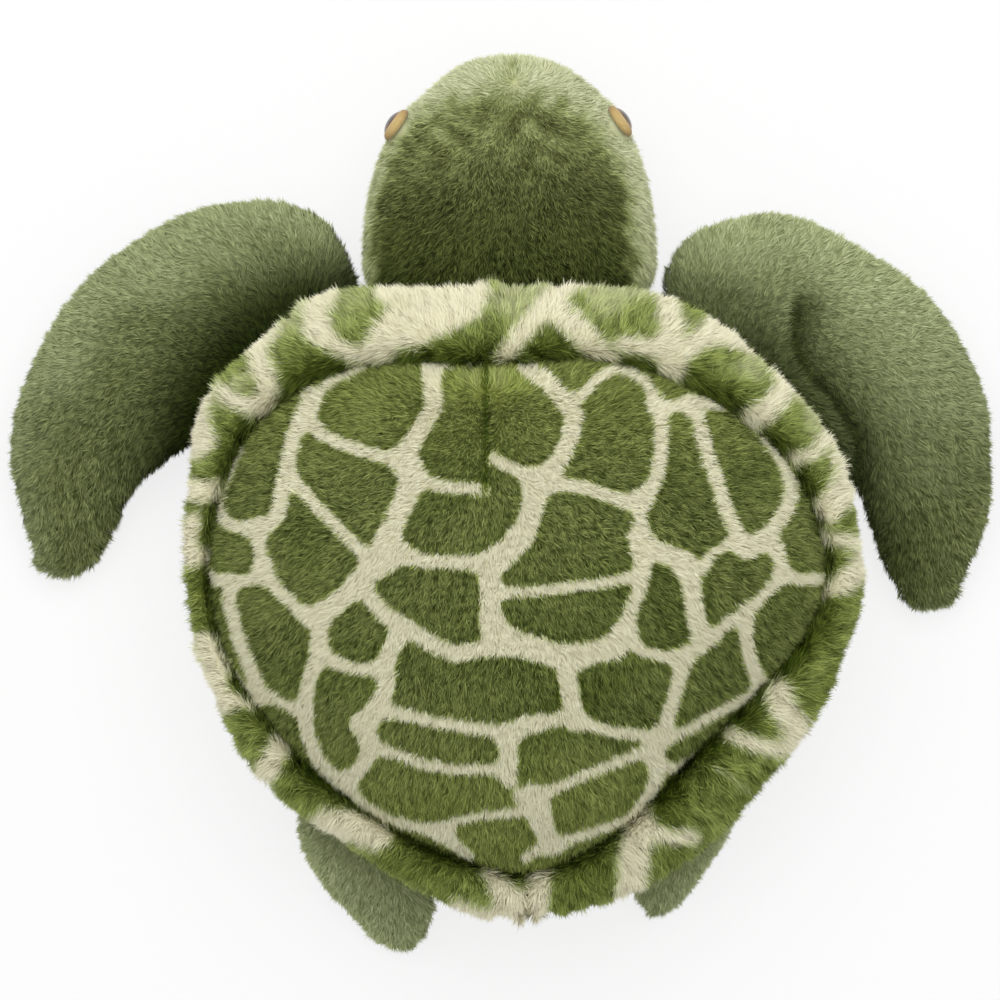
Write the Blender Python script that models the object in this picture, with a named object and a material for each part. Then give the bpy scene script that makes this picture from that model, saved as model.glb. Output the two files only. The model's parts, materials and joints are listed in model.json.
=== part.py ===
"""Large plush sea turtle, seen from above with its head toward +Y.

Each stuffed part is a cover of pile fabric, open at its sewn edge, over a separate filling.
The shell is a domed cushion with a stuffed roll round it, on a flat-bottomed body.
The head and the four flippers turn on their sewn seams, and the eyes are plastic safety eyes.
"""
import math

import bmesh
import bpy
import numpy as np
from mathutils import Matrix, Vector
from mathutils.bvhtree import BVHTree

MM = 0.001

# Fabric, seams and running clearances
CLOTH = 1.2 * MM
STUFFING_GAP = 0.5 * MM
SEAM_GAP = 0.6 * MM
RIM_END_GAP = 1.2 * MM
SEAT_GAP = 0.3 * MM
CUT_OVERRUN = 20 * MM
MERGE_DISTANCE = 0.001 * MM

# Shell: its outline reaches these half sizes about its centre
SHELL_CENTRE_X = 13 * MM
SHELL_CENTRE_Y = -52 * MM
SHELL_HALF_WIDTH = 170 * MM
SHELL_HALF_LENGTH = 157 * MM
SHELL_BASE_Z = 62 * MM
SHELL_WIDEST_Z = 68 * MM
SHELL_TOP_Z = 150 * MM
SHELL_SQUARENESS = 2.4
SHELL_UNDERSIDE_SHARE = 0.96
SHELL_OPENING_SHARE = 0.72

# Roll round the shell
RIM_SIDE_Z = 75 * MM
RIM_FRONT_LIFT = 8 * MM
RIM_SIDE_HALF_HEIGHT = 19 * MM
RIM_FRONT_HALF_HEIGHT = 15 * MM
RIM_SQUARENESS = 2.3
END_SPAN_SHARE = 0.2
END_SIZE_SHARE = 0.75

# Body cushion under the shell
BODY_CENTRE_X = 9 * MM
BODY_CENTRE_Y = -50 * MM
BODY_SIDE_OVERHANG = 26 * MM
BODY_REAR_OVERHANG = 39 * MM
BODY_FRONT_SQUARENESS = 2.4
BODY_REAR_SQUARENESS = 2.0

# Head: a half ellipsoid in front of the neck's axis and a turned back behind it
HEAD_CENTRE_X = 5.5 * MM
HEAD_HALF_WIDTH = 74 * MM
HEAD_HALF_HEIGHT = 42 * MM
HEAD_FRONT_LENGTH = 104 * MM
HEAD_AXIS_Z = 50 * MM
HEAD_SQUARENESS = 2.15
NECK_CLEARANCE = 6 * MM
NECK_SOCKET_DEPTH = 8 * MM
NECK_OPENING_RADIUS = 26 * MM

# Front flippers
FRONT_REACH = 115 * MM
FRONT_HALF_SPAN = 145 * MM
FRONT_HALF_THICKNESS = 18 * MM
FRONT_ROOT_HALF_LENGTH = 42 * MM
FRONT_HINGE_SHARES = {"left": (0.79, 0.68), "right": (0.75, 0.74)}
FRONT_SWEEP_DEG = {"left": 7, "right": -6.5}
FRONT_TUCK = {"left": 2 * MM, "right": 9 * MM}

# Rear flippers
REAR_REACH = {"left": 58 * MM, "right": 47 * MM}
REAR_HALF_SPAN = 65 * MM
REAR_HALF_THICKNESS = 13 * MM
REAR_ROOT_HALF_LENGTH = 24 * MM
REAR_HINGE_SHARES = {"left": (0.51, 0.86), "right": (0.60, 0.79)}
REAR_SWEEP_DEG = {"left": -11, "right": -16}
REAR_TUCK = {"left": 6 * MM, "right": 12 * MM}

# All four flippers
HINGE_Z = 28 * MM
ROOT_RADIUS = 4 * MM
FLIPPER_REST_Z = 5 * MM
FLIPPER_SQUARENESS = 2.9

# Safety eyes, washers and lids
EYE_RADIUS = 7.5 * MM
EYE_DOME = 4.4 * MM
EYE_FLANGE = 1.0 * MM
SHANK_RADIUS = 2.2 * MM
SHANK_LENGTH = 11 * MM
SHANK_CLEARANCE = 0.4 * MM
WASHER_RADIUS = 7.5 * MM
WASHER_THICKNESS = 1.5 * MM
WASHER_DEPTH = 4.5 * MM
WASHER_CLEARANCE = 1.5 * MM
LID_CLEARANCE = 0.4 * MM
LID_BASE_WIDTH = 2.6 * MM
LID_EDGE_WIDTH = 1.4 * MM
LID_ARC_DEG = 150
EYE_OUT_SHARES = {"left": 0.765, "right": 0.745}
EYE_UP_SHARES = {"left": 0.20, "right": 0.22}

# Facet counts
HALF_SPOKE_COUNT = 15
DOME_RING_COUNT = 6
RIM_SIDE_COUNT = 10
BODY_SPOKE_COUNT = 32
HEAD_SLICE_COUNT = 14
HEAD_HALF_SIDE_COUNT = 10
FLIPPER_SIDE_COUNT = 12
FRONT_SECTION_COUNT = 13
REAR_SECTION_COUNT = 8
LATHE_SIDE_COUNT = 16
ROOT_RING_COUNT = 3

SIDES = ("left", "right")

# Plan of the shell from the front seam to the rear seam, one side at a time:
# outer edge of the roll (x, y) and crease between roll and dome (x, y), as shares of the half sizes.
SHELL_PLAN_SHARES = {
    "left": [
        (-0.10, 1.00, -0.10, 0.74),
        (-0.38, 1.01, -0.32, 0.76),
        (-0.63, 0.96, -0.53, 0.73),
        (-0.84, 0.78, -0.69, 0.64),
        (-0.97, 0.55, -0.82, 0.49),
        (-1.00, 0.23, -0.91, 0.18),
        (-0.96, -0.12, -0.88, -0.12),
        (-0.84, -0.43, -0.72, -0.40),
        (-0.59, -0.71, -0.50, -0.62),
        (-0.28, -0.92, -0.25, -0.77),
        (0.00, -1.01, 0.02, -0.84),
    ],
    "right": [
        (-0.10, 1.00, -0.10, 0.74),
        (0.22, 1.01, 0.17, 0.77),
        (0.51, 0.93, 0.41, 0.71),
        (0.74, 0.73, 0.61, 0.59),
        (0.92, 0.47, 0.78, 0.41),
        (0.99, 0.16, 0.87, 0.14),
        (0.97, -0.12, 0.85, -0.10),
        (0.84, -0.38, 0.72, -0.32),
        (0.63, -0.67, 0.53, -0.52),
        (0.33, -0.91, 0.29, -0.72),
        (0.00, -1.01, 0.02, -0.84),
    ],
}

# How much of the front's lift the roll keeps along one side, front seam to rear seam
RIM_LIFT_SHARES = [1.0, 0.95, 0.72, 0.35, 0.10, 0.0, 0.0, 0.0, 0.0, 0.0, 0.0]

# Side of the body cushion: height and width at that height
BODY_PROFILE_SHARES = [
    (0.0, 0.84), (0.10, 0.93), (0.26, 0.985), (0.46, 1.0), (0.70, 0.985), (0.88, 0.955), (1.0, 0.92),
]

# Flipper stations from root to tip: leading edge (out, along), trailing edge (out, along),
# half thickness, and how far the section has come down from the hinge to the table.
FRONT_SHARES = {
    "left": [
        (0.11, 0.34, 0.09, -0.30, 0.40, 0.05),
        (0.24, 0.44, 0.18, -0.31, 0.68, 0.20),
        (0.38, 0.54, 0.19, -0.33, 0.85, 0.40),
        (0.57, 0.54, 0.20, -0.36, 0.95, 0.60),
        (0.81, 0.42, 0.21, -0.41, 1.00, 0.80),
        (0.99, 0.16, 0.21, -0.47, 1.00, 1.0),
        (1.05, -0.18, 0.21, -0.53, 0.95, 1.0),
        (0.93, -0.54, 0.19, -0.61, 0.84, 1.0),
        (0.75, -0.77, 0.16, -0.67, 0.73, 1.0),
        (0.54, -0.89, 0.13, -0.73, 0.60, 1.0),
        (0.31, -0.96, 0.10, -0.81, 0.38, 1.0),
    ],
    "right": [
        (0.11, 0.35, 0.09, -0.30, 0.40, 0.05),
        (0.24, 0.46, 0.18, -0.31, 0.68, 0.20),
        (0.38, 0.53, 0.19, -0.33, 0.85, 0.40),
        (0.56, 0.49, 0.20, -0.36, 0.95, 0.60),
        (0.76, 0.38, 0.20, -0.41, 1.00, 0.80),
        (0.94, 0.12, 0.19, -0.48, 1.00, 1.0),
        (1.02, -0.20, 0.18, -0.57, 0.95, 1.0),
        (0.93, -0.54, 0.16, -0.65, 0.84, 1.0),
        (0.76, -0.74, 0.13, -0.72, 0.73, 1.0),
        (0.55, -0.90, 0.10, -0.79, 0.60, 1.0),
        (0.31, -0.99, 0.08, -0.87, 0.38, 1.0),
    ],
}
FRONT_TIP_SHARES = {"left": (0.17, -0.95), "right": (0.16, -0.985)}
REAR_SHARES = [
    (0.21, -0.42, 0.18, 0.46, 0.55, 0.10),
    (0.44, -0.42, 0.32, 0.65, 0.82, 0.40),
    (0.66, -0.32, 0.42, 0.84, 1.00, 0.75),
    (0.82, -0.11, 0.56, 0.91, 1.00, 1.0),
    (0.93, 0.18, 0.69, 0.95, 0.90, 1.0),
    (0.98, 0.48, 0.80, 0.93, 0.65, 1.0),
]
REAR_TIP_SHARES = (0.94, 0.79)

# Linear colour, roughness and metallic value of each material
MATERIALS = {
    "sage_plush": ((0.15, 0.19, 0.075), 0.95, 0.0),
    "crown_plush": ((0.09, 0.12, 0.04), 0.95, 0.0),
    "shell_plush": ((0.13, 0.17, 0.05), 0.95, 0.0),
    "rim_plush": ((0.25, 0.32, 0.10), 0.95, 0.0),
    "belly_plush": ((0.62, 0.60, 0.44), 0.95, 0.0),
    "polyester_filling": ((0.85, 0.85, 0.82), 0.98, 0.0),
    "eye_plastic": ((0.02, 0.012, 0.008), 0.08, 0.0),
    "washer_plastic": ((0.75, 0.75, 0.73), 0.45, 0.0),
    "lid_suede": ((0.48, 0.31, 0.12), 0.85, 0.0),
}


def clear_scene():
    """Remove every object of the scene."""
    for obj in list(bpy.data.objects):
        bpy.data.objects.remove(obj, do_unlink=True)


def material(name):
    """Return the named Principled material, made at its first use."""
    if name in bpy.data.materials:
        return bpy.data.materials[name]
    colour, roughness, metallic = MATERIALS[name]
    made = bpy.data.materials.new(name)
    made.use_nodes = True
    shader = made.node_tree.nodes["Principled BSDF"]
    shader.inputs["Base Color"].default_value = (*colour, 1)
    shader.inputs["Roughness"].default_value = roughness
    shader.inputs["Metallic"].default_value = metallic
    return made


def add_object(name, mesh, material_name, parent=None):
    """Link a smooth-shaded object that holds the mesh and the named material."""
    obj = bpy.data.objects.new(name, mesh)
    bpy.context.scene.collection.objects.link(obj)
    mesh.materials.append(material(material_name))
    mesh.shade_smooth()
    obj.parent = parent
    return obj


def add_axis(name, place, turn_deg):
    """Empty on a joint's axis: turned about Z so that its Y axis lies along the hinge."""
    empty = bpy.data.objects.new(name, None)
    empty.location = place
    empty.rotation_euler = (0, 0, math.radians(turn_deg))
    bpy.context.scene.collection.objects.link(empty)
    return empty


def add_cutter(name, mesh, parent=None):
    """Link a wire-drawn object that only cuts others."""
    cutter = add_object(name, mesh, "polyester_filling", parent)
    cutter.hide_render = True
    cutter.display_type = "WIRE"
    return cutter


def cut(obj, cutter):
    """Take the cutter's space out of the object."""
    boolean = obj.modifiers.new("cut_" + cutter.name, "BOOLEAN")
    boolean.operation = "DIFFERENCE"
    boolean.object = cutter
    boolean.solver = "EXACT"


def sew_cover(obj):
    """Give an open skin the thickness of the cloth, on its inner side."""
    shell = obj.modifiers.new("cloth", "SOLIDIFY")
    shell.thickness = CLOTH
    shell.offset = -1
    shell.use_even_offset = False


def stuff(obj):
    """Draw a closed skin in until it lies inside its cover as the filling."""
    inset = obj.modifiers.new("inside_cover", "DISPLACE")
    inset.strength = -(CLOTH + STUFFING_GAP)
    inset.mid_level = 0


def catmull_rom(points, places, closed):
    """Points of the curve 0.5(2b + (c-a)t + (2a-5b+4c-d)t^2 + (3b-a-3c+d)t^3) at the given places."""
    points = np.asarray(points, dtype=float)
    places = np.asarray(places, dtype=float)
    count = len(points)
    base = np.floor(places).astype(int)
    if not closed:
        base = np.clip(base, 0, count - 2)
    t = (places - base)[:, None]

    def pick(offset):
        index = base + offset
        return points[index % count] if closed else points[np.clip(index, 0, count - 1)]

    a, b, c, d = pick(-1), pick(0), pick(1), pick(2)
    return 0.5 * (2 * b + (c - a) * t + (2 * a - 5 * b + 4 * c - d) * t ** 2
                  + (3 * b - a - 3 * c + d) * t ** 3)


def rounded(angles, squareness):
    """Cosine and sine raised to 2/squareness, which give a squarer circle."""
    power = 2 / squareness
    cosine, sine = np.cos(angles), np.sin(angles)
    return np.sign(cosine) * np.abs(cosine) ** power, np.sign(sine) * np.abs(sine) ** power


def loft(name, rings, start_tip=None, end_tip=None, open_start=False, open_end=False):
    """Mesh through closed rings of points, each end left open, closed flat or drawn to a tip."""
    bm = bmesh.new()
    loops = [[bm.verts.new(point) for point in ring] for ring in rings]
    for loop, following in zip(loops, loops[1:]):
        for i in range(len(loop)):
            j = (i + 1) % len(loop)
            bm.faces.new((loop[i], loop[j], following[j], following[i]))
    for loop, tip, left_open in ((loops[0], start_tip, open_start), (loops[-1], end_tip, open_end)):
        if tip is not None:
            point = bm.verts.new(tip)
            for i in range(len(loop)):
                bm.faces.new((loop[i], loop[(i + 1) % len(loop)], point))
        elif not left_open:
            bm.faces.new(loop)
    bmesh.ops.recalc_face_normals(bm, faces=bm.faces)
    mesh = bpy.data.meshes.new(name)
    bm.to_mesh(mesh)
    bm.free()
    return mesh


def drop_faces(mesh, is_open):
    """Delete the faces whose centre the given test accepts: the sewn opening of a cover."""
    bm = bmesh.new()
    bm.from_mesh(mesh)
    opened = [face for face in bm.faces if is_open(face.calc_center_median())]
    bmesh.ops.delete(bm, geom=opened, context="FACES")
    bm.to_mesh(mesh)
    bm.free()


def lathe(name, profile, arc_deg=None):
    """Solid turned about Z from a closed (radius, height) profile, whole or over an arc."""
    sides = LATHE_SIDE_COUNT
    whole = arc_deg is None
    sweep = 2 * math.pi if whole else math.radians(arc_deg)
    steps = sides if whole else sides + 1
    rings = []
    for i in range(steps):
        angle = sweep * i / sides - (0 if whole else sweep / 2)
        rings.append([(r * math.cos(angle), r * math.sin(angle), z) for r, z in profile])
    if whole:
        rings.append(rings[0])
    mesh = loft(name, rings, open_start=whole, open_end=whole)
    bm = bmesh.new()
    bm.from_mesh(mesh)
    bmesh.ops.remove_doubles(bm, verts=bm.verts, dist=MERGE_DISTANCE)
    loose = [edge for edge in bm.edges if not edge.link_faces]
    bmesh.ops.delete(bm, geom=loose, context="EDGES")
    bmesh.ops.recalc_face_normals(bm, faces=bm.faces)
    bm.to_mesh(mesh)
    bm.free()
    return mesh


# Shell: plan curves, dome and roll

def shell_profile(height):
    """Share of the widest plan that the dome has at a height: (1 - u^n)^(1/n) above the widest level."""
    rise = np.clip((height - SHELL_WIDEST_Z) / (SHELL_TOP_Z - SHELL_WIDEST_Z), 0, 1)
    return (1 - rise ** SHELL_SQUARENESS) ** (1 / SHELL_SQUARENESS)


def shell_stations():
    """Spokes round the shell: roll's outer edge, crease, and the roll's lift, front to rear to front."""
    left = SHELL_PLAN_SHARES["left"]
    right = SHELL_PLAN_SHARES["right"]
    table = [row + (lift,) for row, lift in zip(left, RIM_LIFT_SHARES)]
    table += [row + (lift,) for row, lift in zip(right[-2:0:-1], RIM_LIFT_SHARES[-2:0:-1])]
    spans = len(left) - 1
    places = np.arange(2 * HALF_SPOKE_COUNT) * spans / HALF_SPOKE_COUNT
    curve = catmull_rom(table, places, closed=True)
    centre = np.array([SHELL_CENTRE_X, SHELL_CENTRE_Y])
    size = np.array([SHELL_HALF_WIDTH, SHELL_HALF_LENGTH])
    outer = centre + curve[:, 0:2] * size
    crease = centre + curve[:, 2:4] * size
    return centre, outer, crease, curve[:, 4]


def dome_rings():
    """Rings of the dome from its sewn base to just under its crown, and the crown."""
    centre, _, crease, lift = shell_stations()
    at_crease = shell_profile(RIM_SIDE_Z + lift * rim_front_rise())
    widest = (crease - centre) / at_crease[:, None]
    rings = []
    for share in (SHELL_OPENING_SHARE, SHELL_UNDERSIDE_SHARE):
        flat = centre + widest * share
        rings.append(np.column_stack([flat, np.full(len(flat), SHELL_BASE_Z)]))
    angles = np.linspace(0, math.pi / 2, DOME_RING_COUNT + 1)[:-1]
    across, up = rounded(angles, SHELL_SQUARENESS)
    for share, rise in zip(across, up):
        flat = centre + widest * share
        height = SHELL_WIDEST_Z + rise * (SHELL_TOP_Z - SHELL_WIDEST_Z)
        rings.append(np.column_stack([flat, np.full(len(flat), height)]))
    return rings, (*centre, SHELL_TOP_Z)


def rim_front_rise():
    """How much higher the roll's middle lies over the neck than at the shell's sides."""
    return HEAD_AXIS_Z + HEAD_HALF_HEIGHT + RIM_FRONT_LIFT - RIM_SIDE_Z


def rim_rings():
    """Sections of the roll at every spoke: squared ellipses that lean on the dome."""
    centre, outer, crease, lift = shell_stations()
    middle_z = RIM_SIDE_Z + lift * rim_front_rise()
    half_height = RIM_SIDE_HALF_HEIGHT + lift * (RIM_FRONT_HALF_HEIGHT - RIM_SIDE_HALF_HEIGHT)
    angles = np.arange(RIM_SIDE_COUNT) * 2 * math.pi / RIM_SIDE_COUNT
    across, up = rounded(angles, RIM_SQUARENESS)
    rings = []
    for k in range(len(outer)):
        span = outer[k] - crease[k]
        width = np.linalg.norm(span)
        height = middle_z[k] + up * half_height[k]
        reach = np.linalg.norm(crease[k] - centre)
        wall = reach * (shell_profile(height) / shell_profile(middle_z[k]) - 1)
        aside = np.maximum(SEAM_GAP + (width - SEAM_GAP) * (1 + across) / 2, wall + SEAM_GAP)
        flat = crease[k] + aside[:, None] * span / width
        rings.append(np.column_stack([flat, height]))
    return rings


def half_rim_rings(side):
    """Rings of one half of the roll, its ends drawn back from the two seams."""
    rings = rim_rings()
    rings.append(rings[0])
    half = rings[:HALF_SPOKE_COUNT + 1] if side == "left" else rings[HALF_SPOKE_COUNT:]
    half = [np.array(ring) for ring in half]
    for end, inner in ((0, 1), (-1, -2)):
        step = half[inner] - half[end]
        length = np.linalg.norm(step.mean(axis=0))
        half[end] = half[end] + step * (RIM_END_GAP / 2) / length
    return half


def rounded_ends(rings):
    """Rings of a filling whose two ends are drawn in like the ends of a bolster."""
    first, last = rings[0], rings[-1]
    near_first = first + (rings[1] - first) * END_SPAN_SHARE
    near_last = last + (rings[-2] - last) * END_SPAN_SHARE
    first = first.mean(axis=0) + (first - first.mean(axis=0)) * END_SIZE_SHARE
    last = last.mean(axis=0) + (last - last.mean(axis=0)) * END_SIZE_SHARE
    return [first, near_first] + rings[1:-1] + [near_last, last]


def build_shell():
    """Dome cushion and the two halves of the roll, each a cover with its filling."""
    rings, crown = dome_rings()
    cover = add_object("shell_dome_cover", loft("dome_skin", rings, end_tip=crown, open_start=True),
                       "shell_plush")
    sew_cover(cover)
    filling = add_object("shell_dome_filling", loft("dome_stuffing", rings, end_tip=crown),
                         "polyester_filling")
    stuff(filling)
    for side in SIDES:
        half = half_rim_rings(side)
        skin = loft("rim_skin_" + side, half, open_start=True, open_end=True)
        cover = add_object("shell_rim_cover_" + side, skin, "rim_plush")
        sew_cover(cover)
        stuffing = loft("rim_stuffing_" + side, rounded_ends(half))
        filling = add_object("shell_rim_filling_" + side, stuffing, "polyester_filling")
        stuff(filling)


# Body cushion

def neck_axis_y():
    """Place of the neck's axis: the head's turned back clears the front of the dome."""
    front_share = SHELL_PLAN_SHARES["left"][0][3]
    crease_z = RIM_SIDE_Z + rim_front_rise()
    front = SHELL_CENTRE_Y + front_share * SHELL_HALF_LENGTH / shell_profile(crease_z)
    return front + NECK_CLEARANCE + HEAD_HALF_HEIGHT


def body_sizes():
    """Half width, front half length and rear half length of the body cushion."""
    half_width = SHELL_HALF_WIDTH - BODY_SIDE_OVERHANG
    front = neck_axis_y() - HEAD_HALF_HEIGHT + NECK_SOCKET_DEPTH - BODY_CENTRE_Y
    rear = BODY_CENTRE_Y - (SHELL_CENTRE_Y - SHELL_HALF_LENGTH) - BODY_REAR_OVERHANG
    return half_width, front, rear


def hinge_frames(end):
    """Side, place, outward direction and turn of each hinge at the front or rear of the body."""
    half_width, front, rear = body_sizes()
    if end == "front":
        place_shares, sweep, tuck = FRONT_HINGE_SHARES, FRONT_SWEEP_DEG, FRONT_TUCK
        length, squareness = front, BODY_FRONT_SQUARENESS
    else:
        place_shares, sweep, tuck = REAR_HINGE_SHARES, REAR_SWEEP_DEG, REAR_TUCK
        length, squareness = -rear, BODY_REAR_SQUARENESS
    frames = []
    for side in SIDES:
        sign = -1 if side == "left" else 1
        shares = place_shares[side]
        slope_x = shares[0] ** (squareness - 1) / half_width
        slope_y = shares[1] ** (squareness - 1) / length
        turn = math.atan2(slope_y, slope_x)
        turn += math.radians(sweep[side]) * (1 if end == "front" else -1)
        outward = np.array([sign * math.cos(turn), math.sin(turn)])
        on_edge = np.array([BODY_CENTRE_X + sign * shares[0] * half_width,
                            BODY_CENTRE_Y + shares[1] * length])
        place = on_edge - outward * tuck[side]
        frames.append((side, place, outward, math.degrees(math.atan2(outward[1], outward[0]))))
    return frames


def body_outline():
    """Plan of the body: a squared oval with a straight stretch at each flipper's seam."""
    half_width, front, rear = body_sizes()
    angles = (np.arange(BODY_SPOKE_COUNT) + 0.5) * 2 * math.pi / BODY_SPOKE_COUNT
    front_x, front_y = rounded(angles, BODY_FRONT_SQUARENESS)
    rear_x, rear_y = rounded(angles, BODY_REAR_SQUARENESS)
    ahead = np.sin(angles) > 0
    outline = np.column_stack([
        BODY_CENTRE_X + half_width * np.where(ahead, front_x, rear_x),
        BODY_CENTRE_Y + np.where(ahead, front * front_y, rear * rear_y),
    ])
    for end in ("front", "rear"):
        for _, place, outward, _ in hinge_frames(end):
            beyond = np.maximum((outline - place) @ outward, 0)
            outline = outline - beyond[:, None] * outward
    return outline


def neck_socket():
    """Cutter of the head's turned back with its running clearance, facets circumscribed."""
    spread = 1 / math.cos(math.pi / (2 * HEAD_HALF_SIDE_COUNT))
    mesh = head_skin("neck_socket", HEAD_HALF_WIDTH + SEAT_GAP, (HEAD_HALF_HEIGHT + SEAT_GAP) * spread)
    cutter = add_cutter("neck_socket_cutter", mesh)
    cutter.location = (HEAD_CENTRE_X, neck_axis_y(), HEAD_AXIS_Z)
    return cutter


def seam_groove(name, place, turn_deg, half_length):
    """Cutter along a flipper's hinge: the slot in the side seam where its root is sewn in."""
    bm = bmesh.new()
    radius = (ROOT_RADIUS + SEAM_GAP) / math.cos(math.pi / LATHE_SIDE_COUNT)
    bmesh.ops.create_cone(bm, cap_ends=True, segments=LATHE_SIDE_COUNT, radius1=radius, radius2=radius,
                          depth=2 * (half_length + SEAM_GAP),
                          matrix=Matrix.Rotation(math.pi / 2, 4, "X"))
    mesh = bpy.data.meshes.new(name)
    bm.to_mesh(mesh)
    bm.free()
    cutter = add_cutter(name, mesh)
    cutter.location = (*place, HINGE_Z)
    cutter.rotation_euler = (0, 0, math.radians(turn_deg))
    return cutter


def build_body():
    """Flat-bottomed cushion: the cover is open at the top and slit where head and flippers join."""
    outline = body_outline()
    centre = np.array([BODY_CENTRE_X, BODY_CENTRE_Y])
    top = SHELL_BASE_Z - SEAM_GAP
    rings = []
    for height, width in BODY_PROFILE_SHARES:
        flat = centre + (outline - centre) * width
        rings.append(np.column_stack([flat, np.full(len(flat), height * top)]))
    cover = add_object("body_cover", loft("body_skin", rings, open_end=True), "belly_plush")
    sew_cover(cover)
    filling = add_object("body_filling", loft("body_stuffing", rings), "polyester_filling")
    stuff(filling)
    cutters = [neck_socket()]
    for end, half_length in (("front", FRONT_ROOT_HALF_LENGTH), ("rear", REAR_ROOT_HALF_LENGTH)):
        for side, place, _, turn_deg in hinge_frames(end):
            name = "_".join(("seam_groove_cutter", end, side))
            cutters.append(seam_groove(name, place, turn_deg, half_length))
    for cutter in cutters:
        cut(cover, cutter)
        cut(filling, cutter)


# Head

def head_skin(name, half_width, back_radius):
    """Closed skin in slices across X: a circle's arc behind the neck's axis, a squared ellipse before it."""
    angles = np.linspace(-math.pi / 2, math.pi / 2, HEAD_SLICE_COUNT + 1)[1:-1]
    shares, aside = rounded(angles, HEAD_SQUARENESS)
    front = np.linspace(-math.pi / 2, math.pi / 2, HEAD_HALF_SIDE_COUNT + 1)[:-1]
    back = np.linspace(math.pi / 2, 3 * math.pi / 2, HEAD_HALF_SIDE_COUNT + 1)[:-1]
    front_y, front_z = rounded(front, HEAD_SQUARENESS)
    along = np.concatenate([HEAD_FRONT_LENGTH * front_y, back_radius * np.cos(back)])
    upward = np.concatenate([back_radius * front_z, back_radius * np.sin(back)])
    rings = []
    for share, x in zip(shares, aside * half_width):
        rings.append(np.column_stack([np.full(len(along), x), along * share, upward * share]))
    return loft(name, rings, start_tip=(-half_width, 0, 0), end_tip=(half_width, 0, 0))


def eye_seat(skin, side):
    """Point and outward direction of the facet that carries an eye, found from outside the head."""
    sign = -1 if side == "left" else 1
    bm = bmesh.new()
    bm.from_mesh(skin)
    tree = BVHTree.FromBMesh(bm)
    bm.free()
    from_front = Vector((sign * EYE_OUT_SHARES[side] * HEAD_HALF_WIDTH, 2 * HEAD_FRONT_LENGTH,
                         EYE_UP_SHARES[side] * HEAD_HALF_HEIGHT))
    place, normal, _, _ = tree.ray_cast(from_front, Vector((0, -1, 0)))
    return place, normal


def seat_matrix(place, normal):
    """Frame at an eye: Z along the outward direction, X up the head."""
    up = Vector((0, 0, 1))
    across = up.cross(normal).normalized()
    crownward = normal.cross(across)
    basis = Matrix((crownward, across, normal)).transposed().to_4x4()
    basis.translation = place + normal * SEAT_GAP
    return basis


def add_disc_cutter(name, radius, near, far, frame, parent):
    """Cylinder cutter along an eye's axis between two heights."""
    mesh = lathe(name, [(0, near), (radius, near), (radius, far), (0, far)])
    cutter = add_cutter(name, mesh, parent)
    cutter.matrix_local = frame
    return cutter


def eye_profile():
    """Outline of the eye's dome from its rim to its crown: a quarter of an ellipse on the flange."""
    angles = np.linspace(0, math.pi / 2, 5)
    return [(EYE_RADIUS * math.cos(a), EYE_FLANGE + EYE_DOME * math.sin(a)) for a in angles]


def lid_profile():
    """Closed section of the lid: follows the eye's dome at a clearance and thins toward its crown."""
    angles = np.linspace(0, math.radians(60), 4)
    inner = [((EYE_RADIUS + LID_CLEARANCE) * math.cos(a),
              EYE_FLANGE + (EYE_DOME + LID_CLEARANCE) * math.sin(a)) for a in angles]
    widths = np.linspace(LID_BASE_WIDTH, LID_EDGE_WIDTH, len(angles))
    outer = [((EYE_RADIUS + LID_CLEARANCE + w) * math.cos(a),
              EYE_FLANGE + (EYE_DOME + LID_CLEARANCE + w) * math.sin(a)) for a, w in zip(angles, widths)]
    foot = [(EYE_RADIUS + LID_CLEARANCE + LID_BASE_WIDTH, 0), (EYE_RADIUS + LID_CLEARANCE, 0)]
    return inner[::-1] + foot[::-1] + outer


def build_head():
    """Head cover and filling, with two safety eyes, their washers and their lids."""
    axis = add_axis("head_nod_axis", (HEAD_CENTRE_X, neck_axis_y(), HEAD_AXIS_Z), 0)
    skin = head_skin("head_skin", HEAD_HALF_WIDTH, HEAD_HALF_HEIGHT)
    seats = {side: eye_seat(skin, side) for side in SIDES}
    neck = Vector((0, -HEAD_HALF_HEIGHT, 0))
    drop_faces(skin, lambda centre: (centre - neck).length < NECK_OPENING_RADIUS)
    cover = add_object("head_cover", skin, "crown_plush", axis)
    sew_cover(cover)
    filling = add_object("head_filling", head_skin("head_stuffing", HEAD_HALF_WIDTH, HEAD_HALF_HEIGHT),
                         "polyester_filling", axis)
    stuff(filling)
    shank_end = -SHANK_LENGTH
    for side in SIDES:
        frame = seat_matrix(*seats[side])
        shank = [(SHANK_RADIUS, 0), (SHANK_RADIUS, shank_end), (0, shank_end)]
        eye = lathe("eye_mesh_" + side, shank[::-1] + [(EYE_RADIUS, 0)] + eye_profile())
        add_object("eye_" + side, eye, "eye_plastic", axis).matrix_local = frame
        hole = SHANK_RADIUS + SHANK_CLEARANCE
        washer_back = -(WASHER_DEPTH + WASHER_THICKNESS)
        washer = lathe("washer_mesh_" + side, [(hole, washer_back), (WASHER_RADIUS, washer_back),
                                              (WASHER_RADIUS, -WASHER_DEPTH), (hole, -WASHER_DEPTH)])
        add_object("eye_washer_" + side, washer, "washer_plastic", axis).matrix_local = frame
        lid = lathe("lid_mesh_" + side, lid_profile(), LID_ARC_DEG)
        add_object("eyelid_" + side, lid, "lid_suede", axis).matrix_local = frame
        bore = add_disc_cutter("eye_bore_cutter_" + side, hole, -CUT_OVERRUN, CUT_OVERRUN, frame, axis)
        cut(cover, bore)
        pocket = add_disc_cutter("eye_pocket_cutter_" + side, WASHER_RADIUS + WASHER_CLEARANCE,
                                 shank_end - WASHER_CLEARANCE, CUT_OVERRUN, frame, axis)
        cut(filling, pocket)


# Flippers

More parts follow.
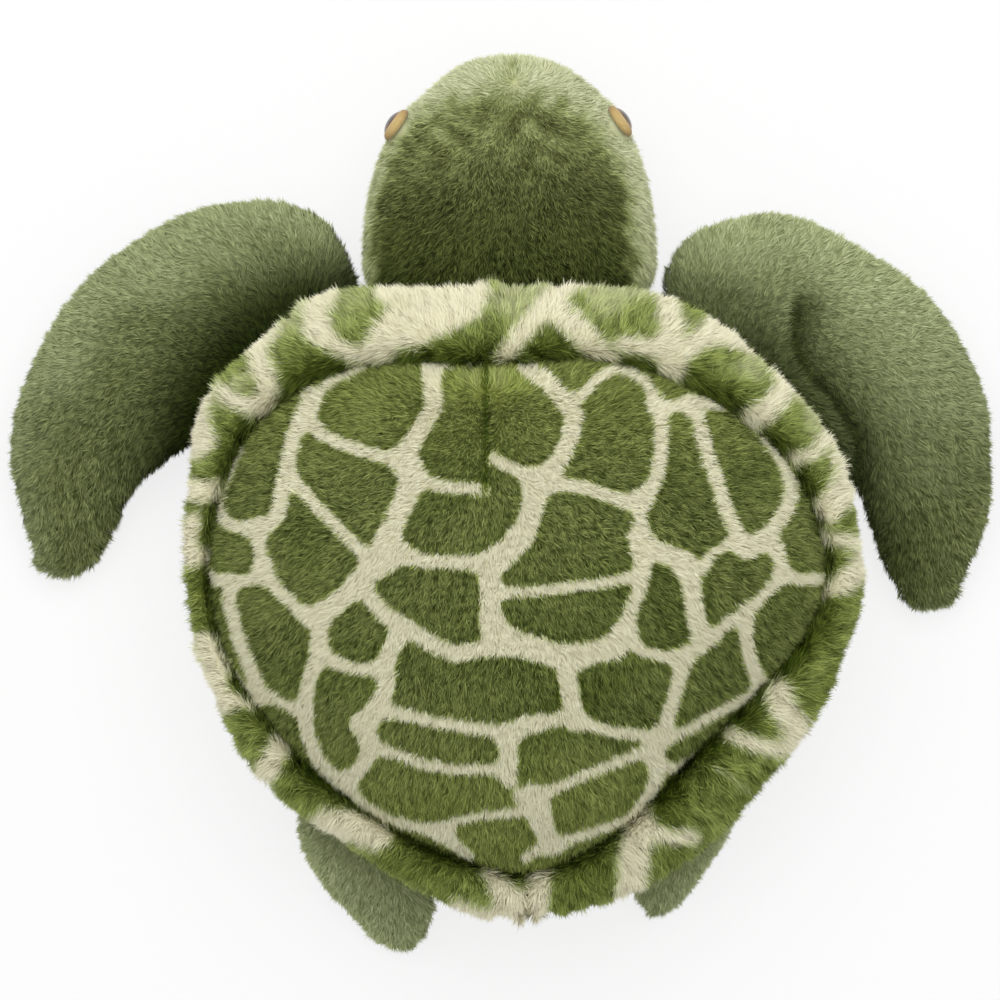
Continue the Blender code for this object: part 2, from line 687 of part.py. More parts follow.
def flipper_rings(shares, tip, reach, half_span, thickness, root_half, sections, mirror):
    """Sections from the rounded root, turned about the hinge, along the blade to its tip."""
    table = [(lead_out * reach, lead_along * half_span, trail_out * reach, trail_along * half_span,
              depth * thickness, down) for lead_out, lead_along, trail_out, trail_along, depth, down
             in shares]
    seam_end = 1 if table[0][1] > table[0][3] else -1
    root = [(0, seam_end * root_half, 0, -seam_end * root_half, ROOT_RADIUS, 0)]
    places = np.linspace(0, len(table), sections)
    blade = catmull_rom(root + table, places, closed=False)
    angles = np.arange(FLIPPER_SIDE_COUNT) * 2 * math.pi / FLIPPER_SIDE_COUNT
    across, up = rounded(angles, FLIPPER_SQUARENESS)
    rings = []
    for bend in (math.radians(60), math.radians(30)):
        back = -ROOT_RADIUS * math.sin(bend)
        half = ROOT_RADIUS * math.cos(bend)
        rings.append(np.column_stack([np.full(len(across), back), mirror * root_half * across * seam_end,
                                      half * up]))
    for lead_out, lead_along, trail_out, trail_along, depth, down in blade:
        middle = np.array([lead_out + trail_out, lead_along + trail_along]) / 2
        half = np.array([lead_out - trail_out, lead_along - trail_along]) / 2
        flat = middle + across[:, None] * half
        drop = down * (HINGE_Z - FLIPPER_REST_Z - depth)
        rings.append(np.column_stack([flat[:, 0], mirror * flat[:, 1], depth * up - drop]))
    end = (tip[0] * reach, mirror * tip[1] * half_span, FLIPPER_REST_Z + ROOT_RADIUS - HINGE_Z)
    return rings, end


def build_flipper(end, side, place, turn_deg):
    """One flipper: a cover open along its root and the filling inside it, on its seam's axis."""
    sign = -1 if side == "left" else 1
    axis = add_axis("_".join((end, "flipper_axis", side)), (*place, HINGE_Z), turn_deg)
    if end == "front":
        rings, tip = flipper_rings(FRONT_SHARES[side], FRONT_TIP_SHARES[side], FRONT_REACH, FRONT_HALF_SPAN,
                                   FRONT_HALF_THICKNESS, FRONT_ROOT_HALF_LENGTH, FRONT_SECTION_COUNT, sign)
    else:
        rings, tip = flipper_rings(REAR_SHARES, REAR_TIP_SHARES, REAR_REACH[side], REAR_HALF_SPAN,
                                   REAR_HALF_THICKNESS, REAR_ROOT_HALF_LENGTH, REAR_SECTION_COUNT, -sign)
    label = "_".join((end, "flipper"))
    skin = loft(label + "_skin_" + side, rings, end_tip=tip, open_start=True)
    cover = add_object("_".join((label, "cover", side)), skin, "sage_plush", axis)
    sew_cover(cover)
    stuffing = loft(label + "_stuffing_" + side, rings[ROOT_RING_COUNT:], end_tip=tip)
    filling = add_object("_".join((label, "filling", side)), stuffing, "polyester_filling", axis)
    stuff(filling)


def build_flippers():
    """The four flippers on the hinges of the body."""
    for end in ("front", "rear"):
        for side, place, _, turn_deg in hinge_frames(end):
            build_flipper(end, side, place, turn_deg)


def main():
    """Build the whole turtle."""
    clear_scene()
    build_shell()
    build_body()
    build_head()
    build_flippers()


main()
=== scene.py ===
"""Plush sea turtle: pile fabric skins, their strands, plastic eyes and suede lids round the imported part.

The file is laid out as a Blender add-on and is run as a script. Every shape is worked out with numpy
on a grid of rows and spokes, and the pile is real strands that grow from those grids.
"""

import json
import math

import bpy
import numpy as np
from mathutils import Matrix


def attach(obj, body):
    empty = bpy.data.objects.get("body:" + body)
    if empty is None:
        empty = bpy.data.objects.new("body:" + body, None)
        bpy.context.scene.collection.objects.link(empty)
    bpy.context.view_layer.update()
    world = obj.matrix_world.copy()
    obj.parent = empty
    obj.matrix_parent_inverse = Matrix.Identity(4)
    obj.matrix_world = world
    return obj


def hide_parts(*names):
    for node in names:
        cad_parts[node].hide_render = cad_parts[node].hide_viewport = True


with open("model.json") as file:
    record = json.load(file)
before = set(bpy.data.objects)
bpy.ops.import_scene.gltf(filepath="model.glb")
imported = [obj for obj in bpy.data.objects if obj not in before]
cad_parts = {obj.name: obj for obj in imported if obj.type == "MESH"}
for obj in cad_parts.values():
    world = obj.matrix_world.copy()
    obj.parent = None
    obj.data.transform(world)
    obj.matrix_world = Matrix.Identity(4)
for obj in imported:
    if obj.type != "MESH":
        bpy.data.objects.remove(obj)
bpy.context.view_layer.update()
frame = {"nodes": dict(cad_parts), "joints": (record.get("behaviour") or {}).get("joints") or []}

bl_info = {
    "name": "Plush Sea Turtle",
    "version": (1, 0, 0),
    "blender": (4, 5, 0),
    "location": "3D View > Sidebar > Turtle",
    "description": "Builds the pile fabric, eyes and lids of a stuffed sea turtle",
    "category": "Add Mesh",
}

MM = 0.001

# Shell in plan and height
SHELL_CENTRE = np.array([13, -52]) * MM
SHELL_HALF_SIZE = np.array([170, 157]) * MM
SHELL_BASE_Z = 62 * MM
SHELL_WIDEST_Z = 68 * MM
SHELL_TOP_Z = 150 * MM
SHELL_SQUARENESS = 2.4
ROLL_SIDE_Z = 75 * MM
ROLL_FRONT_RISE = 25 * MM
ROLL_SIDE_HALF_HEIGHT = 19 * MM
ROLL_FRONT_HALF_HEIGHT = 15 * MM
ROLL_SQUARENESS = 2.3
ROLL_WALL_GAP = 0.6 * MM

# Body cushion
BODY_CENTRE = np.array([9, -50]) * MM
BODY_HALF_WIDTH = 144 * MM
BODY_FRONT_LENGTH = 133.65 * MM
BODY_REAR_LENGTH = 120 * MM
BODY_TOP_Z = 61.4 * MM
BODY_FRONT_SQUARENESS = 2.4
BODY_REAR_SQUARENESS = 2.0

# Head
HEAD_HALF_WIDTH = 74 * MM
HEAD_HALF_HEIGHT = 42 * MM
HEAD_FRONT_LENGTH = 104 * MM
HEAD_SQUARENESS = 2.15

# Flippers: reach, half span, half thickness and half length of the seam, in the frame of each hinge
FLIPPER_SIZES = {
    "front_left": (115 * MM, 145 * MM, 18 * MM, 42 * MM),
    "front_right": (115 * MM, 145 * MM, 18 * MM, 42 * MM),
    "rear_left": (58 * MM, 65 * MM, 13 * MM, 24 * MM),
    "rear_right": (47 * MM, 65 * MM, 13 * MM, 24 * MM),
}
ROOT_RADIUS = 4 * MM
FLIPPER_REST_Z = 5 * MM
FLIPPER_SQUARENESS = 2.9

# Eyes
EYE_RADIUS = 7.5 * MM
EYE_DOME = 4.4 * MM
EYE_FLANGE = 1.0 * MM
SHANK_LENGTH = 11 * MM
LID_GAP = 0.4 * MM
LID_BASE_WIDTH = 2.6 * MM
LID_EDGE_WIDTH = 1.4 * MM
LID_ARC = math.radians(150)

# The dome's pile is grown in thirds from front to rear, each a piece: name, rear and front limit in Y
DOME_THIRDS = (("front", -8 * MM, 90 * MM), ("middle", -80 * MM, -8 * MM), ("rear", -220 * MM, -80 * MM))

# Middle of the dart at the front of the dome
DART_X = -6.5 * MM

# Rounding of the corners where two cream lines meet
CORNER_ROUNDING = 2.1 * MM

# Width of the painted shade along the dart, and how far the colour of a line reaches past its depth
DART_SHADE_WIDTH = 1.9 * MM
LINE_SPREAD = 0.35 * MM
STREAK_SPREAD = 0.7 * MM

# The roll's colour turns pale below this band, the dome's pile ends in the next one, behind the roll, and
# below the third the dome takes painted shade
ROLL_UNDERSIDE = (62 * MM, 52 * MM)
DOME_PILE_FOOT = (70 * MM, 78 * MM)
DOME_SHADED_FOOT = (76 * MM, 68 * MM)
BODY_PILE_TOP = 58 * MM

ROOT_DEPTH = 0.3 * MM
TABLE_GAP = 0.3 * MM
LEAST_LENGTH_SHARE = 0.05
PER_SQUARE_METRE = 1e6

# How strands differ: turn of the nap with the tufts, with broad drifts and at random, in radians; lean and
# length with the tufts and at random, as shares; length and width as ranges of shares
NAP_TURNS = (0.28, 0.14, 0.3)
LEAN_SPREAD = (0.12, 0.14)
LEAN_LIMITS = (0.15, 1.5)
CREST_LENGTH = 0.12
LENGTH_RANGE = (0.72, 1.15)
WIDTH_RANGE = (0.75, 1.25)
TWIST = 0.7

# As shares of a tuft: how far its strands are pulled together, and how far colours stray over their borders
TUFT_PULL = 0.11
COLOUR_STRAY = 0.16

# Shading normals of a strand: tipped up, to both edges, and at random
GLINT_UP = 0.35
GLINT_EDGE = 0.35
GLINT_SPREAD = 0.12

# Seams of the roll: how much it is drawn in, over how many grid steps, and the width of its closing ring
SEAM_PINCH = 0.10
SEAM_PINCH_STEPS = 2.5
SEAM_RING_SHARE = 0.55

# Painted root shade: how much colour the root of a dyed strand and of a cream strand loses
GREEN_ROOT_PAINTED_SHADE = 0.5
CREAM_ROOT_PAINTED_SHADE = 0.08

# Real sizes that the patterns of the materials are scaled to
DYE_DRIFT = 30 * MM
FIBRE_GRAIN = 0.6 * MM
IRIS_RAY = 1.2 * MM
SUEDE_NAP = 0.9 * MM
NYLON_MOTTLE = 2 * MM
PAPER_GRAIN = 4 * MM

# The six colours that every pile fabric has
COLOUR_KEYS = ("dark", "light", "deep", "lime", "cream", "cream_shade")

# Waves in the smooth noise
WAVE_COUNT = 12

# Where the camera stands over the table
CAMERA_PLACE = np.array([0.75, -1.25]) * MM

# Grid steps
SHELL_SPOKES = 240
DOME_ROWS = 46
ROLL_SPOKES = 44
BODY_SPOKES = 160
BODY_ROWS = 26
HEAD_ROWS = 96
HEAD_SPOKES = 120
FLIPPER_SPOKES = 56
CAP_ROWS = 8
EYE_ROWS = 20
EYE_SPOKES = 64
LID_ROWS = 44
LID_SPOKES = 28

# Plan of the shell from the front seam to the rear seam, one side at a time:
# outer edge of the roll (x, y) and crease between roll and dome (x, y), as shares of the half sizes.
SHELL_PLAN_SHARES = {
    "left": [
        (-0.10, 1.00, -0.10, 0.74), (-0.38, 1.01, -0.32, 0.76), (-0.63, 0.96, -0.53, 0.73),
        (-0.84, 0.78, -0.69, 0.64), (-0.97, 0.55, -0.82, 0.49), (-1.00, 0.23, -0.91, 0.18),
        (-0.96, -0.12, -0.88, -0.12), (-0.84, -0.43, -0.72, -0.40), (-0.59, -0.71, -0.50, -0.62),
        (-0.28, -0.92, -0.25, -0.77), (0.00, -1.01, 0.02, -0.84),
    ],
    "right": [
        (-0.10, 1.00, -0.10, 0.74), (0.22, 1.01, 0.17, 0.77), (0.51, 0.93, 0.41, 0.71),
        (0.74, 0.73, 0.61, 0.59), (0.92, 0.47, 0.78, 0.41), (0.99, 0.16, 0.87, 0.14),
        (0.97, -0.12, 0.81, -0.095), (0.84, -0.38, 0.655, -0.29), (0.63, -0.67, 0.48, -0.475),
        (0.33, -0.91, 0.28, -0.70), (0.00, -1.01, 0.02, -0.84),
    ],
}
ROLL_LIFT_SHARES = [1.0, 0.95, 0.72, 0.35, 0.10, 0.0, 0.0, 0.0, 0.0, 0.0, 0.0]

# How much thinner the sewn roll is than its solid: degrees round the shell from the nose, and millimetres
ROLL_TRIM_MM = (
    (0, 0), (78, 0.5), (90, 3.2), (112, 2.0), (121, -1.5), (136, 0.5), (173, 0.5), (180, 6.5), (187, 0.5),
    (220, 0), (229, -3.0), (240, -3.5), (250, -0.8), (270, 0.5), (288, 2.8), (300, 1.5), (320, 0),
)

# Side of the body cushion: height and width at that height
BODY_PROFILE_SHARES = [
    (0.0, 0.84), (0.10, 0.93), (0.26, 0.985), (0.46, 1.0), (0.70, 0.985), (0.88, 0.955), (1.0, 0.92),
]

# Flipper stations from root to tip: leading edge (out, along), trailing edge (out, along),
# half thickness, and how far the section has come down from the hinge to the table.
FRONT_LEFT_SHARES = [
    (0.10, 0.38, 0.09, -0.30, 0.40, 0.05), (0.22, 0.47, 0.18, -0.31, 0.68, 0.20),
    (0.38, 0.54, 0.19, -0.33, 0.85, 0.40), (0.57, 0.54, 0.20, -0.36, 0.95, 0.60),
    (0.81, 0.42, 0.21, -0.41, 1.00, 0.80), (0.99, 0.16, 0.21, -0.47, 1.00, 1.0),
    (1.05, -0.18, 0.21, -0.53, 0.95, 1.0), (0.93, -0.54, 0.19, -0.61, 0.84, 1.0),
    (0.75, -0.77, 0.16, -0.67, 0.73, 1.0), (0.54, -0.89, 0.13, -0.73, 0.60, 1.0),
    (0.31, -0.96, 0.10, -0.81, 0.38, 1.0),
]
FRONT_RIGHT_SHARES = [
    (0.09, 0.40, 0.09, -0.30, 0.40, 0.05), (0.21, 0.49, 0.18, -0.31, 0.68, 0.20),
    (0.38, 0.53, 0.19, -0.33, 0.85, 0.40), (0.56, 0.49, 0.20, -0.36, 0.95, 0.60),
    (0.76, 0.38, 0.20, -0.41, 1.00, 0.80), (0.94, 0.12, 0.19, -0.48, 1.00, 1.0),
    (1.02, -0.20, 0.18, -0.57, 0.95, 1.0), (0.93, -0.54, 0.16, -0.65, 0.84, 1.0),
    (0.76, -0.74, 0.13, -0.72, 0.73, 1.0), (0.55, -0.90, 0.10, -0.79, 0.60, 1.0),
    (0.31, -0.99, 0.08, -0.87, 0.38, 1.0),
]
REAR_SHARES = [
    (0.21, -0.42, 0.18, 0.46, 0.55, 0.10), (0.44, -0.42, 0.32, 0.65, 0.82, 0.40),
    (0.66, -0.32, 0.42, 0.84, 1.00, 0.75), (0.82, -0.11, 0.56, 0.91, 1.00, 1.0),
    (0.93, 0.18, 0.69, 0.95, 0.90, 1.0), (0.98, 0.48, 0.80, 0.93, 0.65, 1.0),
]
FLIPPER_SHARES = {"front_left": FRONT_LEFT_SHARES, "front_right": FRONT_RIGHT_SHARES,
                  "rear_left": REAR_SHARES, "rear_right": REAR_SHARES}
FLIPPER_TIP_SHARES = {"front_left": (0.17, -0.95), "front_right": (0.16, -0.985),
                      "rear_left": (0.94, 0.79), "rear_right": (0.94, 0.79)}

# Fold of the right front flipper: (y, x) in millimetres from the shell outward
FOLD_LINE_MM = ((28, 176), (46, 166), (58, 155), (66, 148), (77, 144.5), (92, 145.5), (100, 147.5))

# For each flipper: how pale its middle is, how much paler its leading edge, how much of that its tip loses,
# and how strong the painted shade beside the shell is
FLIPPER_PALE_SHARES = {"front_left": (0.08, 0.55, 0.5, 1.0), "front_right": (0.34, 0.50, 0.9, 0.82),
                       "rear_left": (0.80, 0.24, 0.2, 0.12), "rear_right": (0.80, 0.20, 0.2, 0.12)}

# Cream lines between the scutes of the dome: half width, then points (x, y), in millimetres
SCUTE_LINES_MM = (
    (3.2, (-93, 51), (-95, 45), (-98, 38), (-102, 27), (-104, 18), (-105, 10), (-107, 1), (-109, -9),
     (-113, -13), (-119, -15)),
    (1.5, (-94, 40), (-90, 48), (-85, 56), (-75, 61), (-67, 65)),
    (2.5, (-94, 38), (-86, 30), (-74, 25), (-62, 21), (-49, 18)),
    (4.0, (-33, 65), (-33, 54), (-32, 44), (-38, 34), (-44, 25), (-47, 18)),
    (1.5, (-34, 64), (-26, 67), (-16, 68), (-7, 68)),
    (2.5, (-40, 12), (-36, 7), (-27, 5), (-17, 4), (-7, 3)),
    (5.0, (-46, 18), (-43, 9), (-46, -1), (-50, -9), (-53, -17), (-56, -25), (-58, -32)),
    (2.5, (-100, 8), (-93, -1), (-85, -9), (-77, -17), (-69, -25), (-61, -34)),
    (2.4, (-129, 24), (-134, 12), (-138, 3), (-139, -5), (-135, -12), (-128, -15), (-119, -16)),
    (2.3, (-119, -15), (-118, -24), (-116, -34)),
    (4.0, (14, 65), (24, 58), (33, 47), (38, 40), (35, 28), (31, 19), (25, 12), (21, 6)),
    (2.0, (35, 46), (43, 52), (49, 59), (58, 64), (66, 62), (73, 57), (78, 46)),
    (3.0, (78, 46), (81, 34), (80, 22), (78, 10), (73, 1), (69, -2)),
    (3.0, (94, 47), (98, 41), (101, 29), (105, 16), (109, 4), (113, -8), (118, -18), (123, -25)),
    (2.0, (83, 44), (92, 46), (100, 47), (110, 45)),
    (3.2, (130, 35), (135, 27), (142, 16), (145, 6), (143, -5), (136, -15), (129, -22), (123, -25)),
    (2.8, (21, 6), (31, 6), (42, 5), (53, 1), (61, -2), (70, -2)),
    (5.2, (18, 6), (17, -5), (14, -15), (8, -23), (1, -30)),
    (2.5, (-3, 19), (1, 17), (9, 13), (19, 9)),
    (2.5, (70, -2), (70, -12), (72, -19), (78, -25), (86, -28), (94, -32)),
    (2.7, (-116, -34), (-113, -41), (-107, -47), (-100, -54), (-94, -59), (-89, -59)),
    (2.2, (-116, -36), (-120, -40), (-129, -42), (-140, -41), (-144, -37)),
    (2.8, (-133, -42), (-133, -51), (-130, -63), (-127, -74), (-123, -83), (-119, -92), (-119, -98)),
    (1.2, (-140, -74), (-133, -84), (-127, -94), (-120, -101)),
    (2.0, (-119, -97), (-110, -100), (-102, -104), (-97, -106)),
    (2.2, (-76, -143), (-65, -153), (-55, -159), (-44, -162), (-34, -164), (-27, -165)),
    (3.2, (-89, -59), (-88, -66), (-89, -79), (-93, -89), (-95, -100), (-95, -108), (-94, -118),
     (-89, -130), (-82, -138), (-76, -141)),
    (3.2, (-76, -141), (-68, -134), (-63, -125), (-65, -115), (-68, -111)),
    (4.5, (-89, -59), (-81, -53), (-73, -46), (-68, -40), (-59, -33), (-49, -28), (-55, -23)),
    (3.0, (-49, -28), (-35, -32), (-21, -32), (-5, -33), (3, -28), (11, -21)),
    (3.5, (-65, -47), (-57, -57), (-49, -62), (-39, -68), (-29, -74), (-21, -77), (-9, -75), (0, -73),
     (9, -72), (21, -74)),
    (4.5, (-5, -33), (-4, -45), (-4, -57), (0, -66), (3, -72)),
    (3.8, (-48, -66), (-53, -75), (-56, -84), (-55, -93), (-59, -102), (-63, -109), (-68, -111)),
    (2.5, (-88, -74), (-81, -81), (-73, -84), (-63, -85), (-57, -84)),
    (2.5, (-60, -105), (-52, -106), (-42, -108), (-29, -111), (-15, -113), (-2, -115), (5, -116),
     (13, -112), (21, -111)),
    (2.0, (-64, -121), (-55, -125), (-44, -129), (-34, -132), (-22, -134), (-12, -134), (2, -134)),
    (3.8, (5, -117), (5, -126), (5, -138)),
    (1.5, (-29, -165), (-21, -160), (-10, -157), (2, -156), (12, -155)),
    (2.5, (-29, -165), (-22, -171), (-15, -177)),
    (3.0, (16, -147), (19, -153), (20, -160)),
    (2.0, (-2, -47), (11, -47), (22, -46), (35, -44), (47, -43), (58, -41), (69, -38)),
    (2.8, (67, -19), (70, -29), (71, -38), (69, -47), (65, -55), (62, -66), (56, -74)),
    (5.0, (62, -67), (57, -74), (47, -76), (36, -79)),
    (4.0, (-4, -64), (1, -67), (9, -72), (19, -76), (30, -78), (36, -79)),
    (4.0, (32, -79), (34, -89), (36, -100), (39, -110)),
    (2.2, (3, -118), (10, -114), (18, -111), (30, -109), (39, -110), (48, -113), (60, -116), (71, -117),
     (79, -119)),
    (3.0, (91, -79), (89, -89), (86, -100), (82, -113), (78, -121), (77, -130), (78, -139), (74, -149),
     (69, -159)),
    (2.2, (66, -71), (71, -76), (79, -78), (91, -79)),
    (2.3, (91, -79), (98, -74), (104, -70), (112, -63), (121, -57), (129, -50), (137, -42), (140, -34),
     (137, -25)),
    (4.0, (90, -32), (94, -41), (96, -51), (98, -63), (101, -70)),
    (1.8, (71, -29), (82, -29), (92, -34), (100, -36), (105, -28), (113, -23), (122, -26), (132, -22),
     (137, -26)),
    (3.0, (122, -59), (122, -68), (124, -80), (128, -89), (132, -96)),
    (2.0, (84, -119), (95, -114), (104, -109), (113, -104), (121, -100), (130, -94)),
    (1.8, (79, -131), (86, -134), (92, -132), (99, -128)),
    (2.0, (10, -147), (24, -145), (35, -140), (47, -135), (57, -131), (74, -125)),
    (4.0, (18, -147), (21, -156), (23, -165), (27, -172)),
    (1.8, (13, -178), (20, -174), (32, -170), (44, -166), (56, -162), (66, -159), (72, -153)),
    (2.5, (139, -38), (150, -41), (160, -40)),
)

# Cream streaks on the roll: half width, then points (x, y), in millimetres. A half width below 0 gives a
# soft pale patch
ROLL_STREAKS_MM = (
    (10.0, (-44, 84), (-31, 91), (-18, 97)),
    (7.0, (-59, 73), (-56, 81), (-49, 87)),
    (5.0, (-56, 102), (-44, 103), (-30, 104), (-10, 103)),
    (5.5, (-85, 103), (-91, 92), (-90, 83)),
    (3.2, (-90, 83), (-81, 75), (-67, 68)),
    (4.5, (-113, 85), (-120, 73), (-116, 61), (-114, 52), (-117, 44)),
    (3.0, (-137, 53), (-131, 48), (-121, 44), (-116, 44)),
    (6.0, (-149, 50), (-150, 38), (-147, 29), (-152, 25)),
    (4.5, (-155, 5), (-149, 3), (-141, 3)),
    (4.0, (-152, -13), (-155, -22), (-152, -30)),
    (4.0, (3, 69), (10, 80), (18, 90), (25, 98), (33, 105), (41, 108)),
    (5.5, (29, 93), (38, 85), (46, 76), (53, 67)),
    (5.0, (82, 104), (84, 95), (86, 84), (84, 74), (86, 62)),
    (3.5, (84, 74), (73, 74), (63, 76)),
    (4.0, (88, 69), (100, 78), (110, 81)),
    (5.0, (107, 86), (117, 80), (128, 76)),
    (4.0, (128, 79), (140, 69), (152, 62), (159, 55)),
    (5.0, (140, 66), (143, 56), (134, 44), (125, 37)),
    (2.5, (164, 44), (163, 31), (157, 23), (146, 18)),
    (6.5, (172, 27), (174, 12), (170, 2), (163, -6)),
    (2.2, (159, -22), (170, -21), (180, -22)),
    (2.2, (-158, -24), (-151, -28), (-143, -29)),
    (7.0, (-145, -74), (-140, -83), (-144, -92), (-140, -101)),
    (2.0, (-140, -101), (-132, -100), (-123, -101)),
    (4.5, (-108, -121), (-112, -130), (-117, -139)),
    (7.5, (-86, -164), (-74, -162), (-61, -166)),
    (3.5, (-3, -186), (4, -196), (12, -200), (3, -208)),
    (3.5, (-21, -204), (-8, -208), (5, -209)),
    (4.5, (181, -30), (177, -38), (171, -42)),
    (2.0, (171, -42), (161, -46)),
    (5.5, (139, -96), (141, -105), (148, -113), (147, -121)),
    (2.5, (115, -117), (126, -122), (139, -125)),
    (-1.2, (108, -134), (116, -139), (123, -145)),
    (6.5, (69, -160), (68, -172), (67, -185), (65, -196)),
    (2.5, (74, -165), (84, -168), (96, -168)),
    (4.0, (20, -186), (20, -198), (19, -210)),
    (4.5, (2, -196), (5, -204), (9, -211)),
)


# Numbers and curves

def linear(code):
    """Linear red, green and blue of an sRGB hex colour."""
    srgb = np.array([int(code[i:i + 2], 16) for i in (1, 3, 5)]) / 255
    return tuple(float(c) for c in np.where(srgb <= 0.04045, srgb / 12.92, ((srgb + 0.055) / 1.055) ** 2.4))


def smooth(low, high, value):
    """0 below low, 1 above high, and 3t^2 - 2t^3 between them."""
    t = np.clip((value - low) / (high - low), 0, 1)
    return t * t * (3 - 2 * t)


def unit(vectors):
    """The vectors at length 1."""
    return vectors / np.maximum(np.linalg.norm(vectors, axis=-1, keepdims=True), 1e-12)


def dot(a, b):
    """Scalar products, kept as a column."""
    return np.sum(a * b, axis=-1, keepdims=True)


def rounded(angles, squareness):
    """Cosine and sine raised to 2/squareness, which give a squarer circle."""
    cosine, sine = np.cos(angles), np.sin(angles)
    power = 2 / squareness
    return np.sign(cosine) * np.abs(cosine) ** power, np.sign(sine) * np.abs(sine) ** power


def catmull_rom(points, places, closed):
    """Points of the curve 0.5(2b + (c-a)t + (2a-5b+4c-d)t^2 + (3b-a-3c+d)t^3) at the given places."""
    points = np.asarray(points, dtype=float)
    places = np.asarray(places, dtype=float)
    count = len(points)
    base = np.floor(places).astype(int)
    if not closed:
        base = np.clip(base, 0, count - 2)
    t = (places - base)[:, None]

    def pick(offset):
        index = base + offset
        return points[index % count] if closed else points[np.clip(index, 0, count - 1)]

    a, b, c, d = pick(-1), pick(0), pick(1), pick(2)
    return 0.5 * (2 * b + (c - a) * t + (2 * a - 5 * b + 4 * c - d) * t ** 2
                  + (3 * b - a - 3 * c + d) * t ** 3)


def waves(size, seed):
    """Sine waves of near that size along random directions, and their phases."""
    rng = np.random.default_rng(seed)
    directions = unit(rng.normal(size=(WAVE_COUNT, 3)))
    turns = directions * (2 * math.pi / (size * rng.uniform(0.7, 1.5, WAVE_COUNT)))[:, None]
    return turns, rng.uniform(0, 2 * math.pi, WAVE_COUNT)


def ripple(points, size, seed):
    """Smooth noise of about unit spread: the sum of the sines of its waves."""
    total = np.zeros(points.shape[:-1])
    for wave, phase in zip(*waves(size, seed)):
        total += np.sin(points @ wave + phase)
    return total * math.sqrt(2 / WAVE_COUNT)


def uphill(points, size, seed):
    """Slope of the same noise times size / 2 pi: the sum of the cosines of its waves along each wave."""
    total = np.zeros(points.shape)
    for wave, phase in zip(*waves(size, seed)):
        total += np.cos(points @ wave + phase)[..., None] * wave
    return total * math.sqrt(2 / WAVE_COUNT) * size / (2 * math.pi)


def line_depth(plan, lines):
    """How deep a point lies inside a net of lines: half width less distance, negative outside.

    Lines that meet are joined by k log(sum of exp(depth / k)), which rounds the corners between them.
    """
    plan = plan.astype(np.float32)
    joined = np.zeros(len(plan), np.float32)
    for half, *points in lines:
        points = np.array(points, np.float32) * MM
        depth = np.full(len(plan), -1.0, np.float32)
        for start, end in zip(points[:-1], points[1:]):
            away, span = plan - start, end - start
            along = np.clip(away @ span / max(float(span @ span), 1e-12), 0, 1)
            gap = np.hypot(away[:, 0] - along * span[0], away[:, 1] - along * span[1])
            np.maximum(depth, half * MM - gap, out=depth)
        joined += np.exp(np.maximum(depth / CORNER_ROUNDING, -60))
    return CORNER_ROUNDING * np.log(joined)


# Grids of rows and spokes, closed round the spokes and drawn to a pole at both ends

def grid_normals(grid):
    """Unit normals: cross product of the steps round and along, with one mean normal at each pole."""
    around = np.roll(grid, -1, 1) - np.roll(grid, 1, 1)
    along = np.gradient(grid, axis=0)
    normals = unit(np.cross(around, along))
    normals[0] = unit(normals[1].mean(axis=0))
    normals[-1] = unit(normals[-2].mean(axis=0))
    return normals


def face_outward(grid):
    """The grid with its spokes in the order that makes its normals point outward."""
    flow = np.sum(grid_normals(grid)[1:-1] * (grid - grid.mean(axis=(0, 1)))[1:-1])
    return grid if flow > 0 else grid[:, ::-1]


def displaced(grid, depth):
    """The grid moved along its normals by a depth for each point."""
    moved = grid + grid_normals(grid) * np.broadcast_to(depth, grid.shape[:2])[..., None]
    moved[0] = moved[0].mean(axis=0)
    moved[-1] = moved[-1].mean(axis=0)
    return moved


def grid_triangles(rows, spokes):
    """Corner numbers and map places of a grid's triangles, one fan at each pole."""
    number = np.zeros((rows, spokes + 1), int)
    number[1:-1, :spokes] = np.arange((rows - 2) * spokes).reshape(rows - 2, spokes)
    number[1:-1, spokes] = number[1:-1, 0]
    number[0] = (rows - 2) * spokes
    number[-1] = (rows - 2) * spokes + 1
    across, up = np.meshgrid(np.linspace(0.01, 0.99, spokes + 1), np.linspace(0.01, 0.99, rows))
    place = np.stack([across, up], axis=-1)

    def corners(array):
        return array[:-1, :-1], array[:-1, 1:], array[1:, 1:], array[1:, :-1]

    a, b, c, d = (x.reshape(-1) for x in corners(number))
    pa, pb, pc, pd = (x.reshape(-1, 2) for x in corners(place))
    faces = np.concatenate([np.stack([a, b, c], 1), np.stack([a, c, d], 1)])
    places = np.concatenate([np.stack([pa, pb, pc], 1), np.stack([pa, pc, pd], 1)])
    real = (faces[:, 0] != faces[:, 1]) & (faces[:, 1] != faces[:, 2]) & (faces[:, 0] != faces[:, 2])
    return faces[real], places[real]


